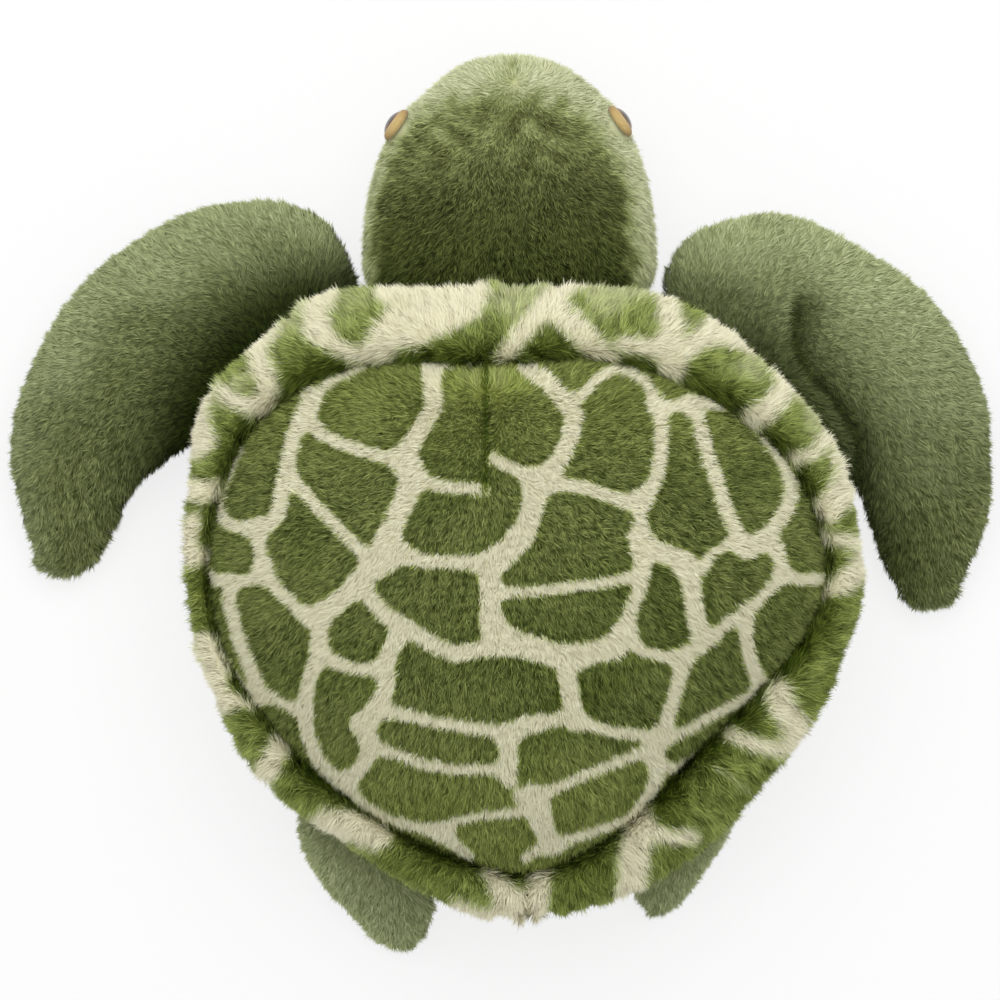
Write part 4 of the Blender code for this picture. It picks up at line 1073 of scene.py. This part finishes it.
def roll_flow(points, normals, row):
    """Nap that stands away from the shell's middle, hangs down outside and lies along the roll rearward."""
    away = points - np.array([*SHELL_CENTRE, 0])
    away[:, 2] = 0
    outward = unit(away)
    aside = np.stack([-outward[:, 1], outward[:, 0], np.zeros(len(points))], axis=1)
    x, y = points[:, 0] - DART_X, points[:, 1]
    rearward = -np.sign(x) * smooth(0, 30 * MM, np.abs(x)) * smooth(-90 * MM, 60 * MM, y)
    return outward + aside * 0.3 * rearward[:, None] + np.array([0, 0, -0.5])


# Joints give the place and direction of every hinge

def hinge(name):
    """Place and outward direction of a flap joint: the axis is outward times up."""
    joint = next(j for j in frame["joints"] if j["name"] == name)
    axis = np.array(joint["axis"], float)
    return np.array(joint["pos_m"], float), unit(np.array([-axis[1], axis[0], 0]))


def neck_axis():
    """A point on the axis that the head nods about."""
    return np.array(next(j for j in frame["joints"] if j["name"] == "head_nod")["pos_m"], float)


# Body

def body_grid(settings):
    """Cushion: squared oval plans at the profile's widths, flat at each flipper, pushed in round the head."""
    angles = (np.arange(BODY_SPOKES) + 0.5) * 2 * math.pi / BODY_SPOKES
    front_x, front_y = rounded(angles, BODY_FRONT_SQUARENESS)
    rear_x, rear_y = rounded(angles, BODY_REAR_SQUARENESS)
    ahead = np.sin(angles) > 0
    outline = BODY_CENTRE + np.stack([
        BODY_HALF_WIDTH * np.where(ahead, front_x, rear_x),
        np.where(ahead, BODY_FRONT_LENGTH * front_y, BODY_REAR_LENGTH * rear_y)], axis=1)
    for end in ("front", "rear"):
        for side in ("left", "right"):
            place, outward = hinge("_".join((end, "flipper", side, "flap")))
            beyond = np.maximum((outline - place[:2]) @ outward[:2], 0)
            outline = outline - beyond[:, None] * outward[:2]
    levels = catmull_rom(BODY_PROFILE_SHARES, np.linspace(0, len(BODY_PROFILE_SHARES) - 1, BODY_ROWS), False)
    levels = np.concatenate([[(0, 0), (0, 0.3), (0, 0.6)], levels, [(1, 0.6), (1, 0)]])
    flat = BODY_CENTRE + levels[:, 1, None, None] * (outline - BODY_CENTRE)
    height = np.broadcast_to(levels[:, 0, None, None] * BODY_TOP_Z, (*flat.shape[:2], 1))
    grid = displaced(np.concatenate([flat, height], axis=-1), -settings.inset)
    neck = neck_axis()
    share = np.clip(1 - np.abs((grid[..., 0] - neck[0]) / HEAD_HALF_WIDTH) ** HEAD_SQUARENESS, 0, 1)
    radius = (HEAD_HALF_HEIGHT - 0.5 * MM) * share ** (1 / HEAD_SQUARENESS)
    away = grid[..., 1:] - neck[1:]
    far = np.maximum(np.linalg.norm(away, axis=-1), 1e-6)
    grid[..., 1:] = neck[1:] + away * np.maximum(radius / far, 1)[..., None]
    return grid


def body_look(points, row):
    """Cream belly that turns sage under the roll, with painted shade at its top."""
    pale = smooth(56 * MM, 44 * MM, points[:, 2] + 3 * MM * ripple(points, 30 * MM, 51))
    # Painted shade at the top of the body, under the roll
    return pale, 0.3 * smooth(48 * MM, 60 * MM, points[:, 2])


def body_flow(points, normals, row):
    """Nap that lies rearward, and down the sides."""
    return np.broadcast_to(np.array([0.0, -0.6, -0.8]), points.shape)


# Head

def head_grid(settings, eyes):
    """Head in slices across X: an arc about the neck's axis behind it, a squared ellipse before it, drawn in
    a little at the mouth and under the brows, and full height round the eyes."""
    slices = np.linspace(-math.pi / 2, math.pi / 2, HEAD_ROWS)
    share, aside = rounded(slices, HEAD_SQUARENESS)
    share[[0, -1]] = 0
    turn = np.arange(HEAD_SPOKES) * 2 * math.pi / HEAD_SPOKES - math.pi / 2
    front_y, front_z = rounded(turn, HEAD_SQUARENESS)
    ahead = turn < math.pi / 2
    along = np.where(ahead, HEAD_FRONT_LENGTH * front_y, HEAD_HALF_HEIGHT * np.cos(turn))
    upward = np.where(ahead, HEAD_HALF_HEIGHT * front_z, HEAD_HALF_HEIGHT * np.sin(turn))
    grid = np.stack([np.broadcast_to(aside[:, None] * HEAD_HALF_WIDTH, (HEAD_ROWS, HEAD_SPOKES)),
                     share[:, None] * along, share[:, None] * upward], axis=-1) + neck_axis()
    inset = -settings.inset - 0.8 * MM * smooth(180 * MM, 205 * MM, grid[..., 1])
    for place, axes in eyes.values():
        gap = np.linalg.norm(np.cross(grid - place, axes[2]), axis=-1)
        near = np.linalg.norm(grid - place, axis=-1) < 30 * MM
        inset = np.where(near, inset * smooth(6 * MM, 12 * MM, gap), inset)
    mouth = mouth_line(grid)
    brow = 2.2 * MM * np.exp(-((grid[..., 0] + 34 * MM) / (20 * MM)) ** 2
                             - ((grid[..., 1] - 201 * MM) / (18 * MM)) ** 2)
    return displaced(grid, inset - brow - 1.6 * MM * mouth)


def mouth_line(points):
    """1 on the closed mouth, a level curve round the front of the head, and 0 away from it."""
    x = points[..., 0] - neck_axis()[0]
    height = points[..., 2] - (neck_axis()[2] - 13 * MM + 7 * MM * (x / HEAD_HALF_WIDTH) ** 2)
    front = smooth(35 * MM, 60 * MM, points[..., 1] - neck_axis()[1])
    return front * np.exp(-(height / (1.6 * MM)) ** 2)


def head_look(points, row):
    """Dark crown with a soft airbrushed edge, a pale face and sides, a smudge above the nose, and painted
    shade toward the back of the head.
    """
    x, y, z = points.T / MM
    crown = (np.abs((x - 2) / 66) ** 2.5 + np.abs((y - 118) / 83) ** 2.5) ** (1 / 2.5)
    crown = crown + 0.02 * ripple(points, 9 * MM, 61)
    thin = 0.22 * smooth(140, 192, y) * (1 + 0.5 * ripple(points, 13 * MM, 62))
    green = smooth(1.10, 0.90, crown) * smooth(34, 52, z) * (1 - np.clip(thin, 0, 0.4))
    smudge = 0.55 * np.exp(-((x - 7) / 4) ** 2 - ((y - 216) / 3) ** 2) + 0.45 * np.exp(
        -((x - 4) / 9) ** 2 - ((y - 208) / 6) ** 2)
    mouth = mouth_line(points)
    # Painted shade: the pale face and sides dim toward the back of the head
    rear_painted_shade = smooth(150, 85, y) * 0.36
    pale = 1 - np.clip(np.maximum(green, smudge), 0, 1)
    pale = pale * (1 - 0.6 * mouth) * (1 - rear_painted_shade)
    # Shade share: painted shade toward the back of the head, and the mouth line darker
    return pale, np.clip(0.8 * smooth(190, 110, y) + 0.8 * mouth, 0, 1)


def head_flow(points, normals, row):
    """Nap that spreads from above the nose, down the face, down the sides and back to the neck."""
    away = points - np.array([8, 206, 64]) * MM
    return away / (np.linalg.norm(away, axis=1)[:, None] + 6 * MM) + np.array([0, -0.1, -0.6])


def eye_frames():
    """Place on the head and axes (up the head, across, outward) of each eye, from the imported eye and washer.

    Both are turned about one axis, so the middles of their points lie on it; the shank's end gives the place.
    """
    found = {}
    for side in ("left", "right"):
        eye, washer = (np.array([v.co for v in frame["nodes"][kind + side].data.vertices])
                       for kind in ("eye_", "eye_washer_"))
        eye_middle, washer_middle = (np.unique(p.round(6), axis=0).mean(axis=0) for p in (eye, washer))
        outward = unit(eye_middle - washer_middle)
        low = ((eye - eye_middle) @ outward).min()
        place = eye_middle + outward * (low + SHANK_LENGTH)
        across = unit(np.cross([0, 0, 1], outward))
        found[side] = (place, np.stack([np.cross(outward, across), across, outward]))
    return found


def eye_trim(eyes):
    """Trims the pile to nothing on an eye and its lid, short beside them, and combs it away from them."""
    def trim(points):
        share = np.ones(len(points))
        aside = np.zeros_like(points)
        for place, axes in eyes.values():
            local = (points - place) @ axes.T
            far = np.hypot(local[:, 0], local[:, 1])
            near = np.linalg.norm(points - place, axis=1) < 34 * MM
            under_lid = smooth(-0.1, 0.35, local[:, 0] / np.maximum(far, 1e-6))
            bare = EYE_RADIUS + 0.3 * (LID_BASE_WIDTH + LID_GAP) * under_lid
            grown = smooth(0, 3 * MM, far - bare) * 0.4 + 0.6
            share = np.where(near, np.where(far < bare, 0, np.minimum(share, grown)), share)
            push = unit(local * np.array([1, 1, 0])) @ axes * (smooth(18 * MM, 9 * MM, far) * near)[:, None]
            aside = aside + push * 0.4
        return share, aside
    return trim


# Eyes and lids

def lathe_grid(profile):
    """Grid of a (radius, height) profile turned about Z, with its first and last points on the axis."""
    turn = np.arange(EYE_SPOKES) * 2 * math.pi / EYE_SPOKES
    r, z = np.array(profile).T[..., None]
    return np.stack([r * np.cos(turn), r * np.sin(turn), z + 0 * turn], axis=-1)


def eye_grid(radius):
    """Safety eye: a flat back, a rounded flange, and a dome of r cos(a), d sin(a)."""
    rise = np.linspace(0, math.pi / 2, EYE_ROWS)
    dome = np.stack([radius * np.cos(rise), EYE_FLANGE + EYE_DOME * np.sin(rise)], axis=1)
    dome[-1, 0] = 0
    back = [(0, -0.6 * MM), (radius * 0.6, -0.6 * MM), (radius * 0.94, -0.5 * MM), (radius * 0.995, 0.2 * MM)]
    return lathe_grid(np.concatenate([back, dome]))


def lid_grid(radius, width):
    """Lid: a padded band over the upper half of the eye, with a rolled edge, thin at both ends."""
    turn = np.linspace(-LID_ARC / 2, LID_ARC / 2, LID_ROWS)
    loop = np.arange(LID_SPOKES) * 2 * math.pi / LID_SPOKES
    lift = np.radians(19) * (1 - np.cos(loop)) + np.radians(2)
    thick = width + (LID_EDGE_WIDTH - width) * (1 - np.cos(loop)) / 2
    taper = np.sqrt(np.clip(1 - (turn / (LID_ARC / 2)) ** 2, 0, 1))[:, None]
    outward = (0.5 + 0.5 * np.sin(loop) * taper) * thick
    tilt = lift * (0.35 + 0.65 * taper)
    level = (radius + LID_GAP + outward) * np.cos(tilt)
    height = EYE_FLANGE + (EYE_DOME + LID_GAP + outward) * np.sin(tilt)
    height = np.where(lift[None] < np.radians(4), 0 * height, height)
    grid = np.stack([level * np.cos(turn)[:, None], level * np.sin(turn)[:, None], height], axis=-1)
    first, last = (np.broadcast_to(x.mean(axis=1, keepdims=True), (1, LID_SPOKES, 3))
                   for x in (grid[:1], grid[-1:]))
    return np.concatenate([first, grid, last])


# Flippers

def flipper_grid(end, side, settings):
    """Skin of a flipper in world place, with the middle, leading direction and half width of every row.

    Sections follow the stations from a rounded root, are squared ellipses between the two edges, come down
    to the table as they go out, and close in a quarter round at the tip.
    """
    place, outward = hinge("_".join((end, "flipper", side, "flap")))
    along = np.array([-outward[1], outward[0], 0])
    reach, half_span, thickness, root_half = FLIPPER_SIZES[end + "_" + side]
    mirror = (-1 if side == "left" else 1) * (1 if end == "front" else -1)
    scale = np.array([reach, half_span, reach, half_span, thickness, 1])
    table = np.array(FLIPPER_SHARES[end + "_" + side]) * scale
    seam = 1 if table[0][1] > table[0][3] else -1
    table = np.vstack([[0, seam * root_half, 0, -seam * root_half, ROOT_RADIUS, 0], table])
    blade = catmull_rom(table, np.linspace(0, len(table) - 1, 7 * len(table)), closed=False)
    lead, trail, depth, down = blade[:, 0:2], blade[:, 2:4], blade[:, 4], blade[:, 5]
    drop = down * (place[2] - FLIPPER_REST_Z - depth)
    middle = np.column_stack([(lead + trail) / 2, -drop])
    reach_aside = np.column_stack([(lead - trail) / 2, np.zeros(len(blade))])
    bends = np.radians([90, 70, 50, 30, 15])
    roots = np.column_stack([-ROOT_RADIUS * np.sin(bends), np.zeros((len(bends), 2))])
    root_aside = np.repeat(reach_aside[:1], len(bends), axis=0) * (bends < 1.5)[:, None]
    end_point = np.array(FLIPPER_TIP_SHARES[end + "_" + side]) * scale[:2]
    tip = np.array([*end_point, FLIPPER_REST_Z + ROOT_RADIUS - place[2]])
    turn = np.linspace(0, math.pi / 2, CAP_ROWS + 1)[1:, None]
    cap = middle[-1] + (tip - middle[-1]) * np.sin(turn)
    cap_share = np.cos(turn) ** 0.8 * (turn < 1.57)
    middle = np.vstack([roots, middle, cap])
    aside = np.vstack([root_aside, reach_aside, reach_aside[-1] * cap_share])
    depth = np.concatenate([ROOT_RADIUS * np.cos(bends) * (bends < 1.5), depth, depth[-1] * cap_share[:, 0]])
    across, up = rounded(np.arange(FLIPPER_SPOKES) * 2 * math.pi / FLIPPER_SPOKES, FLIPPER_SQUARENESS)
    grid = middle[:, None] + across[:, None] * aside[:, None]
    grid[..., 2] += up * depth[:, None]
    basis = np.stack([outward, along * mirror, [0, 0, 1]])
    grid = place + grid @ basis
    middle = place + middle @ basis
    aside = aside @ basis
    half_width = np.maximum(np.linalg.norm(aside, axis=1), 1e-6)
    grid = face_outward(grid)
    thin = np.clip(depth / (8 * MM), 0.25, 1)[:, None]
    grid = displaced(grid, -settings.inset * thin + 0.6 * MM * ripple(grid, 60 * MM, 71) * thin)
    if end == "front" and side == "right":
        grid = folded(grid, settings.fold_depth)
    leading = aside / half_width[:, None]
    leading[half_width < 1e-5] = leading[len(bends)]
    return grid, (middle, unit(np.gradient(middle, axis=0)), leading, half_width)


def fold_share(points, centre, inner, outer):
    """1 along the fold, off by centre, and exp(-(x/width)^2) aside of it, by the inner or outer width."""
    line_y, line_x = np.array(FOLD_LINE_MM).T * MM
    aside = points[..., 0] - np.interp(points[..., 1], line_y, line_x) - centre
    along = smooth(110 * MM, 93 * MM, points[..., 1]) * smooth(12 * MM, 26 * MM, points[..., 2])
    return along * np.exp(-(aside / np.where(aside > 0, outer, inner)) ** 2)


def folded(grid, depth):
    """A fold pressed into the flipper's top, steep inside, slow outside, with a swell on its inner side."""
    swell = 2.2 * MM * fold_share(grid, -9 * MM, 7 * MM, 5 * MM)
    return displaced(grid, swell - depth * fold_share(grid, 2 * MM, 4 * MM, 11 * MM))


def flipper_look(rows, end, side):
    """Pale airbrushed leading edge, painted shade (deep green) beside the shell and in the right front fold,
    and a paler underside.
    """
    middle, _, leading, half_width = rows
    outer, _, _ = shell_plan(SHELL_SPOKES)
    middle_share, edge_share, tip_loss, beside_shell_shade = FLIPPER_PALE_SHARES[end + "_" + side]

    def look(points, row):
        at = np.clip(row, 0, len(middle) - 1).astype(int)
        edge = dot(points - middle[at], leading[at])[:, 0] / half_width[at]
        away = points[:, :2] - SHELL_CENTRE
        gap = np.linalg.norm(away, axis=1) - edge_distance(outer, away)
        travel = row / len(middle)
        wander = 0.10 * ripple(points, 40 * MM, 81)
        under = smooth(14 * MM, 7 * MM, points[:, 2]) * 0.6
        pale = middle_share + edge_share * smooth(-0.2, 1.05, edge + wander)
        pale = pale * (1 - tip_loss * smooth(0.55, 0.80, travel)) + 0.25 * smooth(0.93, 1.0, travel)
        # Painted shade beside the shell, where the roll hangs over the flipper, weaker under it
        shade = smooth(50 * MM, 2 * MM, gap) * beside_shell_shade * (1 - 0.45 * smooth(-4 * MM, -22 * MM, gap))
        # The right front flipper also takes painted shade in and beside its fold
        if end == "front" and side == "right":
            shade = np.maximum(shade, fold_share(points, 2 * MM, 3 * MM, 15 * MM))
        return np.clip(np.maximum(pale * (1 - 0.9 * shade), under), 0, 1), np.clip(shade, 0, 1)

    return look


def flipper_flow(rows):
    """Nap from root to tip that fans toward the leading edge, more so the nearer it lies."""
    middle, along, leading, half_width = rows

    def flow(points, normals, row):
        at = np.clip(row, 0, len(middle) - 1).astype(int)
        edge = dot(points - middle[at], leading[at]) / half_width[at][:, None]
        return along[at] * 0.85 + leading[at] * (0.25 + 0.45 * np.clip(edge, -1, 1)) + np.array([0, 0, -0.55])

    return flow


# Operators

def colours_of(settings):
    """The six colours of a settings group."""
    return {name: tuple(getattr(settings, name)) for name in COLOUR_KEYS}


class MakeDome(bpy.types.Operator):
    """Build the dome of the shell with its scutes"""
    bl_idname = "turtle.make_dome"
    bl_label = "Make Dome"

    def execute(self, context):
        settings = context.scene.turtle_dome
        material = pile_material("acrylic_plush_scutes", colours_of(settings))
        grid = dome_grid(settings)
        skin = new_skin("shell_dome_skin", grid, dome_look, material)
        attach(skin, "torso")
        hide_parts("shell_dome_cover", "shell_dome_filling")
        for seed, (name, rear, ahead) in enumerate(DOME_THIRDS):
            def weight(points, normals, rear=rear, ahead=ahead):
                here = (points[..., 1] > rear) & (points[..., 1] <= ahead)
                return here * smooth(*DOME_PILE_FOOT, points[..., 2])

            coat = grow("shell_dome_pile_" + name, grid, settings, dome_look, dome_flow, material, "torso",
                        100 + seed, weight)
        return {"FINISHED"}


class MakeRoll(bpy.types.Operator):
    """Build the stuffed roll round the shell"""
    bl_idname = "turtle.make_roll"
    bl_label = "Make Roll"

    def execute(self, context):
        settings = context.scene.turtle_roll
        material = pile_material("long_pile_roll_plush", colours_of(settings))
        for seed, side in enumerate(("left", "right")):
            grid = roll_grid(side, settings)
            skin = new_skin("shell_roll_skin_" + side, grid, roll_look, material)
            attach(skin, "torso")
            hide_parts("shell_rim_cover_" + side, "shell_rim_filling_" + side)

            def weight(points, normals):
                place = roll_place(points.reshape(-1, 3)).reshape(points.shape[:2])
                shown = smooth(-0.2, 0.3, normals[..., 2] + smooth(0.2, 0.6, place))
                return (0.2 + 0.8 * shown) * smooth(-0.98, -0.5, normals[..., 2])

            coat = grow("shell_roll_pile_" + side, grid, settings, roll_look, roll_flow, material, "torso",
                        200 + seed, weight)
        return {"FINISHED"}


class MakeBody(bpy.types.Operator):
    """Build the body cushion"""
    bl_idname = "turtle.make_body"
    bl_label = "Make Body"

    def execute(self, context):
        settings = context.scene.turtle_body
        material = pile_material("short_pile_belly_plush", colours_of(settings))
        grid = body_grid(settings)
        skin = new_skin("body_skin", grid, body_look, material)
        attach(skin, "torso")
        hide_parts("body_cover", "body_filling")

        def weight(points, normals):
            return (points[..., 2] < BODY_PILE_TOP) * (1 - 0.35 * smooth(-0.5, -0.95, normals[..., 2]))

        coat = grow("body_pile", grid, settings, body_look, body_flow, material, "torso", 300, weight)
        return {"FINISHED"}


class MakeHead(bpy.types.Operator):
    """Build the head"""
    bl_idname = "turtle.make_head"
    bl_label = "Make Head"

    def execute(self, context):
        settings = context.scene.turtle_head
        material = pile_material("short_pile_head_plush", colours_of(settings))
        eyes = eye_frames()
        grid = head_grid(settings, eyes)
        skin = new_skin("head_skin", grid, head_look, material)
        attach(skin, "head")
        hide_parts("head_cover", "head_filling")

        def weight(points, normals):
            behind = smooth(-0.92, -0.6, normals[..., 1])
            return (0.2 + 0.8 * behind) * (1 - 0.45 * smooth(-0.2, -0.6, normals[..., 2]))

        coat = grow("head_pile", grid, settings, head_look, head_flow, material, "head", 400, weight,
                    eye_trim(eyes))
        return {"FINISHED"}


class MakeEyes(bpy.types.Operator):
    """Build the plastic eyes and their suede lids"""
    bl_idname = "turtle.make_eyes"
    bl_label = "Make Eyes"

    def execute(self, context):
        settings = context.scene.turtle_eyes
        plastic = eye_material()
        suede = suede_material(tuple(settings.lid_light), tuple(settings.lid_dark))
        nylon = washer_material()
        for side, (place, axes) in eye_frames().items():
            eye = eye_grid(settings.eye_radius)
            lid = lid_grid(settings.eye_radius, settings.lid_width)
            eye_share = np.hypot(eye[..., 0], eye[..., 1]) / settings.eye_radius
            lid_share = np.abs(np.arctan2(lid[..., 1], lid[..., 0])) / (LID_ARC / 2)
            for name, grid, share, material, slot_name in (
                    ("eye_bead_" + side, eye, eye_share, plastic, "eye_plastic"),
                    ("eyelid_suede_" + side, lid, lid_share ** 2, suede, "lid_suede")):
                world = place + (grid - [0, 0, settings.sunk]) @ axes
                order = slice(None) if world is face_outward(world) else slice(None, None, -1)
                world, share = world[:, order], share[:, order]
                faces, places = grid_triangles(*world.shape[:2])
                points = np.concatenate([world[1:-1].reshape(-1, 3), world[:1, 0], world[-1:, 0]])
                zone = np.concatenate([share[1:-1].ravel(), share[:1, 0], share[-1:, 0]])
                pile = np.stack([zone * 0, zone * 0, zone * 0, np.clip(zone, 0, 1)], axis=1)
                piece = new_piece(name, points, faces, places, pile, material)
                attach(piece, "head")
                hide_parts("eye_" + side if material is plastic else "eyelid_" + side)
            washer = frame["nodes"]["eye_washer_" + side]
            washer.data.materials.clear()
            washer.data.materials.append(nylon)
        return {"FINISHED"}


class MakeFlippers(bpy.types.Operator):
    """Build the four flippers"""
    bl_idname = "turtle.make_flippers"
    bl_label = "Make Flippers"

    def execute(self, context):
        settings = context.scene.turtle_flippers
        material = pile_material("short_pile_flipper_plush", colours_of(settings))
        seed = 500
        for end in ("front", "rear"):
            for side in ("left", "right"):
                body = "_".join((end, "flipper", side))
                grid, rows = flipper_grid(end, side, settings)
                look = flipper_look(rows, end, side)
                skin = new_skin("_".join((end, "flipper", "skin", side)), grid, look, material)
                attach(skin, body)
                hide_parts("_".join((end, "flipper", "cover", side)),
                            "_".join((end, "flipper", "filling", side)))

                def weight(points, normals):
                    return 1 - 0.5 * smooth(-0.2, -0.6, normals[..., 2])

                coat = grow("_".join((end, "flipper", "pile", side)), grid, settings, look,
                            flipper_flow(rows), material, body, seed, weight)
                seed += 1
        return {"FINISHED"}


class MakeStage(bpy.types.Operator):
    """Set up the floor, the soft light and the camera"""
    bl_idname = "turtle.make_stage"
    bl_label = "Make Stage"

    def execute(self, context):
        settings = context.scene.turtle_stage
        scene = context.scene
        scene.view_settings.view_transform = "Standard"
        half = settings.floor_size / 2
        mesh = bpy.data.meshes.new("table_top")
        mesh.from_pydata([(-half, -half, 0), (half, -half, 0), (half, half, 0), (-half, half, 0)], [],
                         [(0, 1, 2, 3)])
        mesh.materials.append(paper_material())
        floor = bpy.data.objects.new("table_top", mesh)
        scene.collection.objects.link(floor)
        lamp = bpy.data.lights.new("soft_box", "AREA")
        lamp.shape = "SQUARE"
        lamp.size = settings.lamp_size
        lamp.energy = settings.lamp_power
        box = bpy.data.objects.new("soft_box", lamp)
        box.location = (0, settings.lamp_ahead, settings.lamp_height)
        box.rotation_euler = (-math.atan2(settings.lamp_ahead, settings.lamp_height), 0, 0)
        box.visible_camera = False
        scene.collection.objects.link(box)
        world = bpy.data.worlds.new("studio")
        world.use_nodes = True
        tree = world.node_tree
        shown = add_node(tree, "ShaderNodeLightPath").outputs
        seen = add_node(tree, "ShaderNodeMath", {0: shown["Is Camera Ray"], 1: shown["Is Glossy Ray"]},
                        operation="MAXIMUM")
        seen = add_node(tree, "ShaderNodeMath", {0: seen.outputs[0], 1: shown["Is Transmission Ray"]},
                        operation="MAXIMUM")
        strength = ranged(tree, seen.outputs[0], settings.sky_strength, 1.0)
        background = tree.nodes["Background"]
        background.inputs["Color"].default_value = (1, 1, 1, 1)
        tree.links.new(strength, background.inputs["Strength"])
        scene.world = world
        camera = bpy.data.cameras.new("top_camera")
        camera.lens = settings.focal_length
        camera.clip_end = 100
        eye = bpy.data.objects.new("top_camera", camera)
        distance = settings.view_width * settings.focal_length / camera.sensor_width
        eye.location = (*CAMERA_PLACE, distance)
        scene.collection.objects.link(eye)
        scene.camera = eye
        return {"FINISHED"}


def paper_material():
    """White studio paper: mostly its own white to the camera, with enough plain paper to hold a shadow."""
    material, tree, shader = new_material("white_studio_paper")
    place = add_node(tree, "ShaderNodeTexCoord").outputs["Object"]
    grain = add_node(tree, "ShaderNodeTexNoise", {"Vector": place, "Scale": 1 / PAPER_GRAIN})
    tree.links.new(mixed_colour(tree, grain.outputs[0], linear("#f4f4f4"), linear("#fafafa")),
                   shader.inputs["Base Color"])
    shader.inputs["Roughness"].default_value = 0.9
    glow = add_node(tree, "ShaderNodeEmission", {"Color": (1, 1, 1, 1), "Strength": 1.0})
    camera = add_node(tree, "ShaderNodeLightPath").outputs["Is Camera Ray"]
    mixed = add_node(tree, "ShaderNodeMixShader",
                     {0: ranged(tree, camera, 0.0, 0.8), 1: shader.outputs[0], 2: glow.outputs[0]})
    tree.links.new(mixed.outputs[0], tree.nodes["Material Output"].inputs["Surface"])
    return material


GROUPS = (
    ("turtle_dome", DomeSettings, MakeDome),
    ("turtle_roll", RollSettings, MakeRoll),
    ("turtle_body", BodySettings, MakeBody),
    ("turtle_head", HeadSettings, MakeHead),
    ("turtle_eyes", EyeSettings, MakeEyes),
    ("turtle_flippers", FlipperSettings, MakeFlippers),
    ("turtle_stage", StageSettings, MakeStage),
)


class TurtlePanel(bpy.types.Panel):
    """Lists the turtle's pieces and their settings"""
    bl_idname = "VIEW3D_PT_turtle"
    bl_label = "Plush Sea Turtle"
    bl_space_type = "VIEW_3D"
    bl_region_type = "UI"
    bl_category = "Turtle"

    def draw(self, context):
        for name, settings, operator in GROUPS:
            box = self.layout.box()
            box.operator(operator.bl_idname)
            for key in settings.__annotations__:
                box.prop(getattr(context.scene, name), key)


def register():
    """Register the settings, the operators and the panel."""
    for name, settings, operator in GROUPS:
        bpy.utils.register_class(settings)
        bpy.utils.register_class(operator)
        setattr(bpy.types.Scene, name, bpy.props.PointerProperty(type=settings))
    bpy.utils.register_class(TurtlePanel)


def unregister():
    """Remove what register added."""
    bpy.utils.unregister_class(TurtlePanel)
    for name, settings, operator in reversed(GROUPS):
        delattr(bpy.types.Scene, name)
        bpy.utils.unregister_class(operator)
        bpy.utils.unregister_class(settings)


def main():
    """Build every piece in order."""
    register()
    for operator in (bpy.ops.turtle.make_dome, bpy.ops.turtle.make_roll, bpy.ops.turtle.make_body,
                     bpy.ops.turtle.make_head, bpy.ops.turtle.make_eyes, bpy.ops.turtle.make_flippers,
                     bpy.ops.turtle.make_stage):
        operator()


if __name__ == "__main__":
    main()
